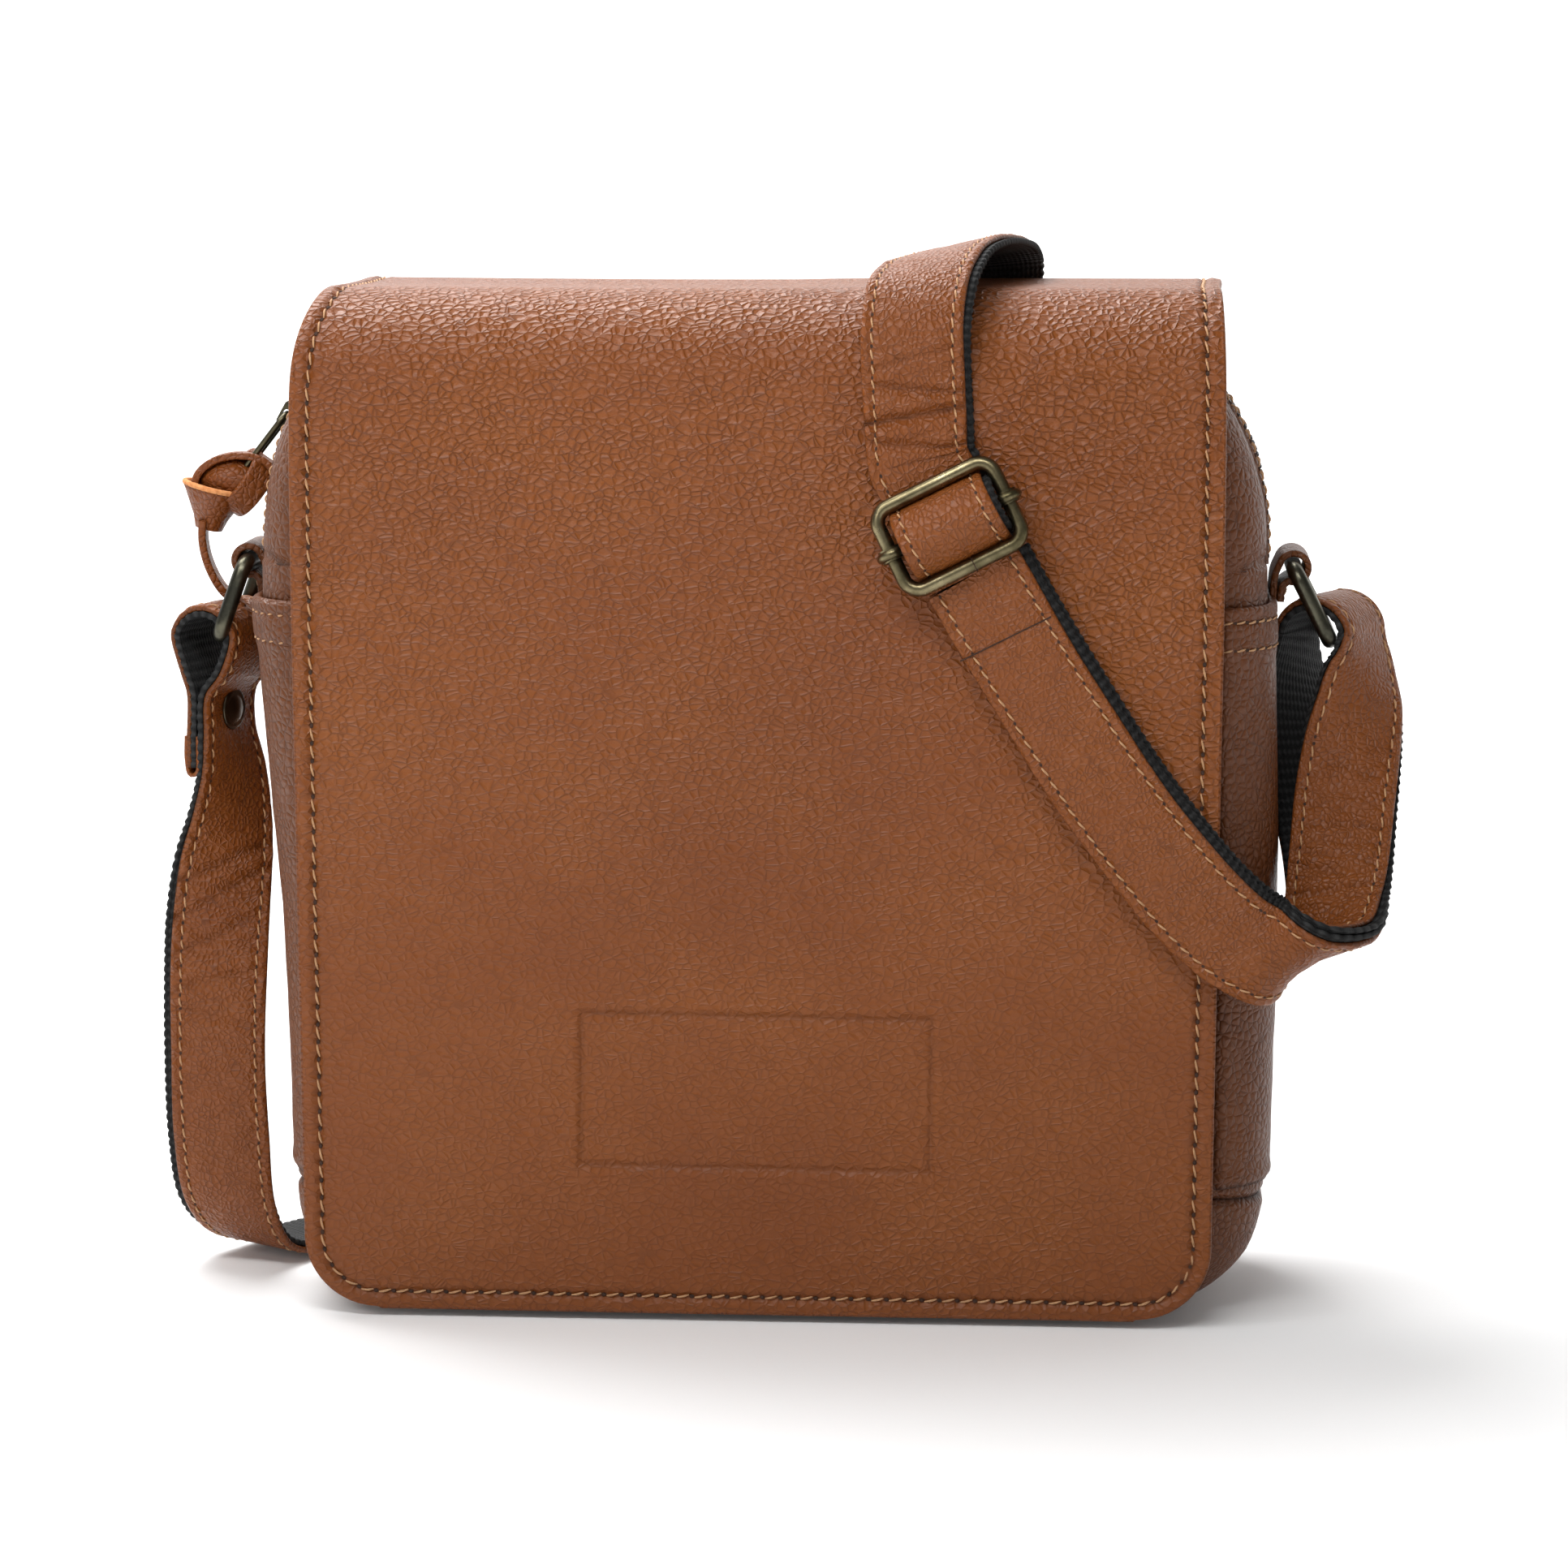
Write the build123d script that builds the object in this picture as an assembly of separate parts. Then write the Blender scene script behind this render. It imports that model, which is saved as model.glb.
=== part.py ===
from build123d import *
import math
import os

# A flap-over leather sling bag, in millimetres.
# Origin: on the floor under the middle of the bag. -Y is its front, +Z is up, and
# +X is on the right of someone who faces the front.

# Body
BODY_WIDTH = 250.0
BODY_DEPTH = 80.0
BODY_HEIGHT = 246.0
SHOULDER_RADIUS = 50.0
FOOT_RADIUS = 34.0
EDGE_ROUNDING = 18.0
LEATHER = 2.0
LINING_INSET = 4.0
LINING_THICKNESS = 0.8
SEAM_Y = 22.0           # the leather strips beside the zip meet the panels here
GUSSET_Y = 34.0         # the front and back panels meet the gussets and the base here
BASE_SEAM_Z = 30.0      # base strip meets the side gussets here
ZIP_END_Z = 188.0       # the zip and its leather strips end here, just under the shoulders

# Zip
TAPE_EDGE_Y = 12.0
SLOT_HALF_WIDTH = 9.0
SLOT_FLAT_X = 64.0
SLOT_END_X = 118.0
SLOT_END_HALF_WIDTH = 1.3
COIL_WIDTH = 2.6
COIL_STANDOFF = 0.8
SLIDER_ANGLE = 29.0     # up the left shoulder from level
SLIDER_TOP = (10.0, 8.0, 1.8)       # length, width and thickness of the plate outside
SLIDER_TOP_CORNER = 2.2
SLIDER_TOP_HEIGHT = 2.1             # its middle, over the skin
SLIDER_UNDER = (9.0, 7.0, 0.8)      # the plate inside
SLIDER_UNDER_CORNER = 2.0
SLIDER_UNDER_HEIGHT = -2.8
SLIDER_WEDGE = (3.0, 1.6, 4.2)
SLIDER_WEDGE_HEIGHT = -0.5
SLIDER_BRIDGE = (7.0, 2.4, 3.6)
SLIDER_BRIDGE_ROUNDING = 1.4
SLIDER_BRIDGE_HEIGHT = 4.5
EYE_HEIGHT = 4.6        # the pull's wire goes through the bridge here
EYE_RADIUS = 1.2
EYE_LENGTH = 6.0
PULL_HANG = -128.0      # direction that the pull hangs in, up from +X
PULL_LENGTH = 18.0
PULL_WIDTH = 6.4
PULL_CORNER = 2.8
PULL_WIRE = 0.8
PULL_CLEARANCE = 0.2
KNOT_CENTRE = (-138.0, 0.0, 202.0)
KNOT_RADIUS = 9.0
CUP_CENTRE = (-140.5, 0.0, 197.5)
CUP_LEAN = 12.0
CUP_LOW_RADIUS = 5.0
CUP_TOP_RADIUS = 8.5
CUP_HEIGHT = 9.0
TAIL_X = (-143.5, -141.0)
TAIL_HALF_WIDTH = 4.0
TAIL_Z = (177.0, 196.0)
STOP_SIZE = (3.0, 5.0, 1.2)
STOP_CORNER = 0.8
STOP_ANGLE = 4.0        # up the shoulder from level
STOP_LIFT = 0.75        # its middle, over the coils

# Side pockets and lugs
POCKET_HALF_WIDTH = 33.0
POCKET_HEM_Z = 178.0
LUG_Z = 186.0
LUG_OFFSET = 6.6
LUG_WIDTH = 20.0
LUG_BORE = 2.6
LUG_RADIUS = 4.6
POCKET_BASE_GAP = 4.0   # between the base seam and the pocket's lower edge

# Flap
FLAP_WIDTH = 226.0
FLAP_FRONT_Y = -47.0
FLAP_TOP_Z = 256.0
FLAP_BOTTOM_Z = 2.5
FLAP_REAR_Y = 43.0
FLAP_FRONT_ROUNDING = 24.0
FLAP_REAR_ROUNDING = 13.0
FLAP_CORNER_RADIUS = 18.0
FLAP_LEATHER = 1.7
FLAP_TOTAL = 3.0
FOLD_Y = 30.0           # the flap's free part starts here
ANCHOR_TOP_Z = 228.0
ANCHOR_BOTTOM_Z = 210.0
SNAP_RADIUS = 9.0
SNAP_Z = 45.0
SNAP_THICKNESS = 1.8
SNAP_RECESS_RADIUS = 3.2
SNAP_POST_RADIUS = 2.6
SNAP_POST_LENGTH = 3.2
SNAP_EASING = 0.3

# Strap and hardware
STRAP_WIDTH = 25.0
PLY = 1.5               # thickness of the leather and of the webbing
GLUE_GAP = 0.1
RING_WIRE = 2.0
RING_INNER_WIDTH = 26.0
RING_DROP = 20.0        # between the middles of the ring's two long bars
RING_CORNER = 4.0
LEFT_RING_TILT = 20.0
RIGHT_RING_TILT = 27.0
ADJUSTER_WIRE = 1.8
ADJUSTER_LENGTH = 31.0  # between wire middles, across the strap
ADJUSTER_HEIGHT = 21.4  # between wire middles, along the strap
ADJUSTER_CORNER = 4.0
ADJUSTER_TURN = 26.7    # its bars rise this much towards +X
ADJUSTER_CENTRE = (47.2, FLAP_FRONT_Y, 200.0)
COLLAR_RADIUS = 2.9     # middle bar's ends, wrapped round the frame
COLLAR_LENGTH = 3.2
RIVET_RADIUS = 5.4
RIVET_CAP = 1.4
RIVET_CAP_ROUNDING = 0.9
RIVET_CAP_OFFSET = 4.0  # from the middle of the folded end to the middle of a cap
RIVET_POST_RADIUS = 1.5
RIVET_POST_LENGTH = 8.4
RIVET_HOLE_RADIUS = 1.7
RIVET_X = -140.9
RIVET_Z = 147.0

SHOULDER_CENTRE_X = BODY_WIDTH / 2 - SHOULDER_RADIUS
SHOULDER_CENTRE_Z = BODY_HEIGHT - SHOULDER_RADIUS
LUG_X = BODY_WIDTH / 2 + LUG_OFFSET
FAR = 400.0
CLEARANCE = 0.05        # half of the gap left between pieces that touch

nodes = {}


def slab(x0, x1, y0, y1, z0, z1):
    """A box between two corners."""
    centre = Pos((x0 + x1) / 2, (y0 + y1) / 2, (z0 + z1) / 2)
    return centre * Box(x1 - x0, y1 - y0, z1 - z0)


def vector(angle):
    """Unit vector in the XZ plane, angle in degrees up from +X."""
    return Vector(math.cos(math.radians(angle)), 0, math.sin(math.radians(angle)))


# ---------------------------------------------------------------- body


def bag_solid(inset):
    """The bag's closed outer form, shrunk inwards by inset."""
    half = BODY_WIDTH / 2 - inset
    height = BODY_HEIGHT - 2 * inset
    outline = Pos(0, BODY_HEIGHT / 2) * Rectangle(2 * half, height)
    outline = fillet(outline.vertices().sort_by(Axis.Y)[-2:], SHOULDER_RADIUS - inset)
    outline = fillet(outline.vertices().sort_by(Axis.Y)[:2], FOOT_RADIUS - inset)
    form = extrude(Plane.XZ * outline, BODY_DEPTH / 2 - inset, both=True)
    faces = form.faces().sort_by(Axis.Y)
    rims = faces[0].edges() + faces[-1].edges()
    return fillet(rims, EDGE_ROUNDING - inset)


def slot_prism(spread):
    """Upright prism of the open zip's lens shape, widened by spread on each side."""
    wide = SLOT_HALF_WIDTH + spread
    narrow = SLOT_END_HALF_WIDTH + spread
    side = [
        (-FAR, narrow),
        (-SLOT_END_X, narrow),
        (-SLOT_FLAT_X, wide),
        (SLOT_FLAT_X, wide),
        (SLOT_END_X, narrow),
        (FAR, narrow),
    ]
    mirrored = [(x, -y) for x, y in reversed(side)]
    lens = make_face(Polyline(*side, *mirrored, close=True))
    return extrude(Pos(0, 0, ZIP_END_Z) * lens, FAR)


def body_panels():
    """Leather panels of the body, and the two fabric halves of its zip."""
    outer = bag_solid(0)
    shell = outer - bag_solid(LEATHER)
    half = BODY_WIDTH
    between = slab(-half, half, -GUSSET_Y, GUSSET_Y, -1, ZIP_END_Z)
    panel = (shell & slab(-half, half, -FAR, -SEAM_Y, -1, FAR)) - between
    nodes["front_panel"] = panel
    nodes["back_panel"] = mirror(panel, Plane.XZ)
    nodes["base_panel"] = shell & slab(-half, half, -GUSSET_Y, GUSSET_Y, -1, BASE_SEAM_Z)
    side = shell & slab(0, half, -GUSSET_Y, GUSSET_Y, BASE_SEAM_Z, ZIP_END_Z)
    nodes["side_gusset_right"] = side
    nodes["side_gusset_left"] = mirror(side, Plane.YZ)
    strip = shell & slab(-half, half, -SEAM_Y, -TAPE_EDGE_Y, ZIP_END_Z, FAR)
    nodes["zip_strip_front"] = strip
    nodes["zip_strip_rear"] = mirror(strip, Plane.XZ)
    front = slab(-half, half, -TAPE_EDGE_Y, 0, ZIP_END_Z, FAR)
    tape = (shell & front) - slot_prism(COIL_WIDTH)
    nodes["zip_tape_front"] = tape
    nodes["zip_tape_rear"] = mirror(tape, Plane.XZ)
    coil_layer = bag_solid(-COIL_STANDOFF) - bag_solid(LEATHER)
    coil = (coil_layer & front & slot_prism(COIL_WIDTH)) - slot_prism(0)
    nodes["zip_coil_front"] = coil
    nodes["zip_coil_rear"] = mirror(coil, Plane.XZ)


def inner_pieces():
    """Fabric lining with its open mouth, and the stiff board under it."""
    lining = bag_solid(LINING_INSET) - bag_solid(LINING_INSET + LINING_THICKNESS)
    mouth = TAPE_EDGE_Y + 1
    nodes["lining"] = lining - slab(-FAR, FAR, -mouth, mouth, ZIP_END_Z, FAR)
    half_length = BODY_WIDTH / 2 - FOOT_RADIUS - LEATHER
    half_width = BODY_DEPTH / 2 - EDGE_ROUNDING - LEATHER
    low = LEATHER + 2 * CLEARANCE
    high = LINING_INSET - 2 * CLEARANCE
    nodes["base_board"] = slab(-half_length, half_length, -half_width, half_width, low, high)


def side_pockets():
    """Flat slip pockets that lie on the side gussets."""
    gap = 2 * CLEARANCE
    layer = bag_solid(-LEATHER - gap) - bag_solid(-gap)
    low = BASE_SEAM_Z + POCKET_BASE_GAP
    edge = POCKET_HALF_WIDTH
    pocket = layer & slab(0, FAR, -edge, edge, low, POCKET_HEM_Z)
    nodes["side_pocket_right"] = pocket
    nodes["side_pocket_left"] = mirror(pocket, Plane.YZ)


def lugs():
    """Leather lugs: a loop for the ring, and a tail sewn to the gusset above the pocket."""
    wall = BODY_WIDTH / 2 + CLEARANCE
    ease = 4 * CLEARANCE
    half = LUG_WIDTH / 2
    axis = Plane(origin=(LUG_X, half, LUG_Z), x_dir=(1, 0, 0), z_dir=(0, -1, 0))
    tail = slab(wall, wall + LEATHER, -half, half, POCKET_HEM_Z + ease, LUG_Z)
    neck = slab(wall, LUG_X, -half, half, LUG_Z - LUG_RADIUS + ease, LUG_Z)
    loop = extrude(axis * Circle(LUG_RADIUS), LUG_WIDTH)
    bore = extrude(axis * Circle(LUG_BORE), LUG_WIDTH)
    lug = tail + neck + loop - bore
    nodes["lug_right"] = lug
    nodes["lug_left"] = mirror(lug, Plane.YZ)


# ---------------------------------------------------------------- flap


def cover(inset):
    """Solid under the flap's skin, seen from the side a tall arch over the body."""
    front = FLAP_FRONT_Y + inset
    rear = FLAP_REAR_Y - inset
    top = FLAP_TOP_Z - inset
    height = top + 20
    profile = Pos((front + rear) / 2, top - height / 2) * Rectangle(rear - front, height)
    corners = profile.vertices().filter_by(lambda v: v.Y > 0).sort_by(Axis.X)
    profile = fillet(corners[:1], FLAP_FRONT_ROUNDING - inset)
    corners = profile.vertices().sort_by(Axis.X)[-2:].sort_by(Axis.Y)
    profile = fillet(corners[-1:], FLAP_REAR_ROUNDING - inset)
    return extrude(Plane.YZ * profile, FLAP_WIDTH / 2, both=True)


def flap_outline():
    """Upright prism with the flap's outline as seen from the front."""
    height = FAR - FLAP_BOTTOM_Z
    outline = Pos(0, FLAP_BOTTOM_Z + height / 2) * Rectangle(FLAP_WIDTH, height)
    outline = fillet(outline.vertices().sort_by(Axis.Y)[:2], FLAP_CORNER_RADIUS)
    return extrude(Plane.XZ * outline, FAR, both=True)


def flap():
    """Flap leather and lining, the fold that bends at the back, and the sewn-on edge."""
    free = slab(-FAR, FAR, -FAR, FOLD_Y, FLAP_BOTTOM_Z, FAR) & flap_outline()
    skin = cover(0)
    nodes["flap_leather"] = (skin - cover(FLAP_LEATHER)) & free
    nodes["flap_lining"] = (cover(FLAP_LEATHER + 2 * CLEARANCE) - cover(FLAP_TOTAL)) & free
    behind = skin - cover(FLAP_TOTAL - 2 * CLEARANCE)
    nodes["flap_fold"] = behind & slab(-FAR, FAR, FOLD_Y, FAR, ANCHOR_TOP_Z, FAR)
    nodes["flap_anchor"] = behind & slab(-FAR, FAR, FOLD_Y, FAR, ANCHOR_BOTTOM_Z, ANCHOR_TOP_Z)


def magnetic_snap():
    """Socket half on the front panel, stud half behind the flap."""
    body_front = -BODY_DEPTH / 2
    socket_plane = Plane(origin=(0, body_front - CLEARANCE, SNAP_Z), z_dir=(0, -1, 0))
    flap_inside = FLAP_FRONT_Y + FLAP_TOTAL + CLEARANCE
    stud_plane = Plane(origin=(0, flap_inside, SNAP_Z), z_dir=(0, 1, 0))
    disc = Circle(SNAP_RADIUS)
    recess = Circle(SNAP_RECESS_RADIUS)
    post = Circle(SNAP_POST_RADIUS)
    socket = extrude(socket_plane * disc, SNAP_THICKNESS)
    socket = socket - extrude(socket_plane * recess, SNAP_THICKNESS)
    nodes["snap_socket"] = chamfer(socket.faces().sort_by(Axis.Y)[0].edges(), SNAP_EASING)
    stud = extrude(stud_plane * disc, SNAP_THICKNESS)
    nodes["snap_stud"] = stud + extrude(stud_plane * post, SNAP_POST_LENGTH)


# ---------------------------------------------------------------- zip slider and pull


def slider_frame():
    """Plane on the left shoulder: local X runs up the zip, local Z points outwards."""
    outwards = vector(180 - SLIDER_ANGLE)
    along = vector(90 - SLIDER_ANGLE)
    centre = Vector(-SHOULDER_CENTRE_X, 0, SHOULDER_CENTRE_Z)
    return Plane(origin=centre + outwards * SHOULDER_RADIUS, x_dir=along, z_dir=outwards)


def zip_slider():
    """Two plates joined by a wedge, with a bridge for the pull."""
    frame = slider_frame()
    top = fillet(Box(*SLIDER_TOP).edges().filter_by(Axis.Z), SLIDER_TOP_CORNER)
    under = fillet(Box(*SLIDER_UNDER).edges().filter_by(Axis.Z), SLIDER_UNDER_CORNER)
    bridge = fillet(Box(*SLIDER_BRIDGE).edges().filter_by(Axis.Y), SLIDER_BRIDGE_ROUNDING)
    eye = Rot(90, 0, 0) * Cylinder(EYE_RADIUS, EYE_LENGTH)
    slider = Pos(0, 0, SLIDER_TOP_HEIGHT) * top + Pos(0, 0, SLIDER_UNDER_HEIGHT) * under
    slider = slider + Pos(0, 0, SLIDER_WEDGE_HEIGHT) * Box(*SLIDER_WEDGE)
    slider = slider + Pos(0, 0, SLIDER_BRIDGE_HEIGHT) * bridge
    nodes["zip_slider"] = frame * (slider - Pos(0, 0, EYE_HEIGHT) * eye)


def pull_wire_at(radius):
    """Long narrow wire loop that hangs from the slider's bridge."""
    start = slider_frame().from_local_coords(Vector(0, 0, EYE_HEIGHT))
    hang = vector(PULL_HANG)
    plane = Plane(origin=start, x_dir=(0, 1, 0), z_dir=hang.cross(Vector(0, 1, 0)))
    side = 1 if plane.y_dir.dot(hang) > 0 else -1
    loop = RectangleRounded(PULL_WIDTH, PULL_LENGTH, PULL_CORNER)
    path = (plane * (Pos(0, side * PULL_LENGTH / 2) * loop)).wire()
    return sweep(Plane(origin=path @ 0, z_dir=path % 0) * Circle(radius), path)


def zip_pull():
    """Wire loop, and the leather thong knotted on it with one tail hanging."""
    nodes["pull_wire"] = pull_wire_at(PULL_WIRE)
    knot = Pos(*KNOT_CENTRE) * Sphere(KNOT_RADIUS)
    cup = Pos(*CUP_CENTRE) * Rot(0, CUP_LEAN, 0) * Cone(CUP_LOW_RADIUS, CUP_TOP_RADIUS, CUP_HEIGHT)
    tail = slab(*TAIL_X, -TAIL_HALF_WIDTH, TAIL_HALF_WIDTH, *TAIL_Z)
    nodes["pull_thong"] = (knot + cup + tail) - pull_wire_at(PULL_WIRE + PULL_CLEARANCE)


def zip_stops():
    """Metal stops crimped over the coils at the two ends of the zip."""
    stop = fillet(Box(*STOP_SIZE).edges().filter_by(Axis.Z), STOP_CORNER)
    outwards = vector(STOP_ANGLE)
    along = vector(STOP_ANGLE + 90)
    centre = Vector(SHOULDER_CENTRE_X, 0, SHOULDER_CENTRE_Z)
    reach = SHOULDER_RADIUS + COIL_STANDOFF + STOP_LIFT
    right = Plane(origin=centre + outwards * reach, x_dir=along, z_dir=outwards) * stop
    nodes["zip_stops"] = Compound([right, mirror(right, Plane.YZ)])


# ---------------------------------------------------------------- strap


def sections(route, first=None, last=None):
    """Planes square to a route of (point, width direction): X lies across the strap,
    Y points to its leather side and Z runs along it. first and last set the
    direction at the ends, where another stretch carries on."""
    points = [Vector(*point) for point, _ in route]
    planes = []
    for i, (_, across) in enumerate(route):
        ahead = points[min(i + 1, len(points) - 1)]
        behind = points[max(i - 1, 0)]
        planes.append(Plane(origin=points[i], x_dir=across, z_dir=ahead - behind))
    if first:
        planes[0] = Plane(origin=points[0], x_dir=route[0][1], z_dir=first)
    if last:
        planes[-1] = Plane(origin=points[-1], x_dir=route[-1][1], z_dir=last)
    return planes


def band(planes, low, high):
    """One ply of the strap, between two heights over its mid-surface."""
    ply = Pos(0, (low + high) / 2) * Rectangle(STRAP_WIDTH, high - low)
    return loft([plane * ply for plane in planes], ruled=True)


def strap(name, planes, side=0):
    """Both plies of a stretch: side 0 is a single strap centred on its route,
    1 the outer and -1 the inner strap of a pair that lies web to web."""
    half_gap = GLUE_GAP / 2
    if side == 0:
        web = (-PLY - half_gap, -half_gap)
        face = (half_gap, PLY + half_gap)
    else:
        near = (GLUE_GAP, GLUE_GAP + PLY)
        away = (2 * GLUE_GAP + PLY, 2 * GLUE_GAP + 2 * PLY)
        web = sorted(side * h for h in near)
        face = sorted(side * h for h in away)
    nodes[name + "_webbing"] = band(planes, *web)
    nodes[name + "_leather"] = band(planes, *face)


def arc_points(centre, radius, angles):
    """Points on a circle in a flat pair of coordinates, angles in degrees."""
    turns = [math.radians(angle) for angle in angles]
    return [
        (centre[0] + radius * math.cos(turn), centre[1] + radius * math.sin(turn))
        for turn in turns
    ]


def ring(name, side, tilt):
    """Rectangular wire ring that hangs from a lug and leans outwards by tilt."""
    hang = vector(-90 + side * tilt)
    hinge = Vector(side * LUG_X, 0, LUG_Z)
    middle = hinge + hang * (RING_DROP / 2)
    plane = Plane(origin=middle, x_dir=(0, 1, 0), z_dir=Vector(0, 1, 0).cross(hang))
    width = RING_INNER_WIDTH + 2 * RING_WIRE
    path = (plane * RectangleRounded(width, RING_DROP, RING_CORNER)).wire()
    nodes[name] = sweep(Plane(origin=path @ 0, z_dir=path % 0) * Circle(RING_WIRE), path)


Y_WAY = (0, 1, 0)

# The folded end, as (x, z): up its tail, round the left ring's lower bar and down.
RING_END_TAIL = [(-142.6, 133), (-142.55, 140), (-142.55, 153), (-144.8, 157.5)]
RING_END_CENTRE = (-140.2, 164.6)
RING_END_RADIUS = 7.6
RING_END_FALL = [(-135.6, 157.5), (-139.25, 153), (-139.25, 141)]


def ring_end_route():
    bulb = arc_points(RING_END_CENTRE, RING_END_RADIUS, range(180, -1, -30))
    return [((x, 0, z), Y_WAY) for x, z in RING_END_TAIL + bulb + RING_END_FALL]


FALL_ROUTE = [
    ((-139.25, 0, 130), (0, 1, 0)),
    ((-140.3, -1, 118), (0.45, 0.89, 0)),
    ((-142.5, -3, 104), (0.85, 0.53, 0)),
    ((-143.5, -5, 85), (0.99, 0.1, 0)),
    ((-143.8, -5.5, 60), (1, 0, 0)),
    ((-143.5, -4, 36), (1, 0, 0)),
    ((-141.5, 0, 18), (0.98, -0.1, -0.1)),
    ((-137, 7, 7), (0.92, -0.3, -0.1)),
    ((-129, 18, 2.4), (0.85, -0.5, 0)),
    ((-118, 32, 1.9), (0.8, -0.6, 0)),
    ((-106, 48, 2.4), (0.8, -0.6, 0)),
    ((-95, 60, 8), (0.84, -0.54, 0)),
    ((-86, 65, 20), (0.9, -0.4, -0.15)),
]
RISE_ROUTE = [
    ((-76, 63, 38), (0.9, -0.1, -0.4)),
    ((-60, 56, 64), (0.85, 0, -0.52)),
    ((-38, 49.5, 96), (0.83, 0, -0.56)),
    ((-8, 46.2, 138), (0.82, 0, -0.57)),
    ((22, 45.6, 182), (0.86, 0, -0.5)),
    ((42, 46, 214), (0.93, 0, -0.36)),
]
FOLD_ROUTE = [
    ((50, 46.5, 234), (0.97, 0, -0.2)),
    ((53, 45.2, 247), (0.98, 0, -0.1)),
    ((53.5, 39.5, 256.5), (0.99, 0, 0.05)),
]
OVER_ROUTE = [
    ((53, 29, 260.5), (0.98, 0, 0.1)),
    ((51, 10, 262), (0.97, 0, 0.18)),
    ((46, -12, 263.2), (0.96, 0.1, 0.22)),
    ((41.5, -30, 262), (0.96, 0.15, 0.2)),
    ((38.8, -42.5, 257), (0.98, 0.1, 0.14)),
    ((37.9, -49.2, 247), (0.99, 0.0, 0.12)),
    ((38.1, -49.0, 237), (0.985, 0, 0.17)),
    ((38.7, -48.9, 226), (0.96, 0, 0.28)),
]


def single_strap():
    """From the folded end at the left ring to the adjuster: down, along the floor,
    up the back, over the top and down the front."""
    stretches = [
        ("strap_end", ring_end_route()),
        ("strap_fall", FALL_ROUTE),
        ("strap_rise", RISE_ROUTE),
        ("strap_fold", FOLD_ROUTE),
        ("strap_over", OVER_ROUTE),
        ("strap_wave", wave_route()),
    ]
    route = [station for _, stretch in stretches for station in stretch]
    planes = sections(route, last=adjuster_fall())
    start = 0
    for name, stretch in stretches:
        end = start + len(stretch)
        strap(name, planes[start : end + 1])
        start = end


def ring_rivet():
    """Snap rivet through both layers of the folded end."""
    middle = Pos(RIVET_X, 0, RIVET_Z)
    sideways = Rot(0, 90, 0)
    hole = middle * sideways * Cylinder(RIVET_HOLE_RADIUS, 2 * RIVET_POST_LENGTH)
    for part in ("strap_end_webbing", "strap_end_leather"):
        nodes[part] = nodes[part] - hole
    cap = fillet(Cylinder(RIVET_RADIUS, RIVET_CAP).edges().sort_by(Axis.Z)[-1:], RIVET_CAP_ROUNDING)
    right = middle * Pos(RIVET_CAP_OFFSET, 0, 0) * sideways * cap
    left = middle * Pos(-RIVET_CAP_OFFSET, 0, 0) * Rot(0, -90, 0) * cap
    post = middle * sideways * Cylinder(RIVET_POST_RADIUS, RIVET_POST_LENGTH)
    nodes["strap_rivet"] = post + right + left


# ---------------------------------------------------------------- adjuster

TOP_BAR_OUT = 5.4
BOTTOM_BAR_OUT = 8.6
CENTRE_BAR_OUT = (TOP_BAR_OUT + BOTTOM_BAR_OUT) / 2
CENTRE_BAR_RADIUS = 1.5
BAR_EASE = 0.3          # between a bar and the strap on it
FRAME_EASE = 0.25
ENTRY_DOWN = -17.0      # the wave's two ends, down the strap from the adjuster's centre
LEAVE_DOWN = 13.0
HALF_STRAP = PLY + GLUE_GAP / 2
LOOP_RADIUS = CENTRE_BAR_RADIUS + BAR_EASE + HALF_STRAP
WAVE_RADIUS = LOOP_RADIUS + 2 * HALF_STRAP + BAR_EASE
HUG_RADIUS = ADJUSTER_WIRE + FRAME_EASE + HALF_STRAP


def adjuster_across():
    """Direction of the adjuster's bars."""
    return tuple(vector(ADJUSTER_TURN))


def adjuster_fall():
    """Direction down the strap at the adjuster."""
    return vector(ADJUSTER_TURN - 90)


def adjuster_point(down, out):
    """Point at a distance down the strap from the adjuster's centre, and off the flap."""
    point = Vector(*ADJUSTER_CENTRE) + adjuster_fall() * down
    return (point.X, point.Y - out, point.Z)


def adjuster_route(points):
    return [(adjuster_point(down, out), adjuster_across()) for down, out in points]


def wave_route():
    """Under the top bar, over the middle bar and its loop, and under the bottom bar."""
    reach = ADJUSTER_HEIGHT / 2
    under_top = arc_points((-reach, TOP_BAR_OUT), HUG_RADIUS, (270, 288, 306, 323, 340))
    over = arc_points((0, CENTRE_BAR_OUT), WAVE_RADIUS, range(160, 19, -20))
    under_bottom = arc_points((reach, BOTTOM_BAR_OUT), HUG_RADIUS, (200, 217, 234, 252, 270))
    entry = (ENTRY_DOWN, TOP_BAR_OUT - HUG_RADIUS)
    leave = (LEAVE_DOWN, BOTTOM_BAR_OUT - HUG_RADIUS)
    return adjuster_route([entry] + under_top + over + under_bottom + [leave])


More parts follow.
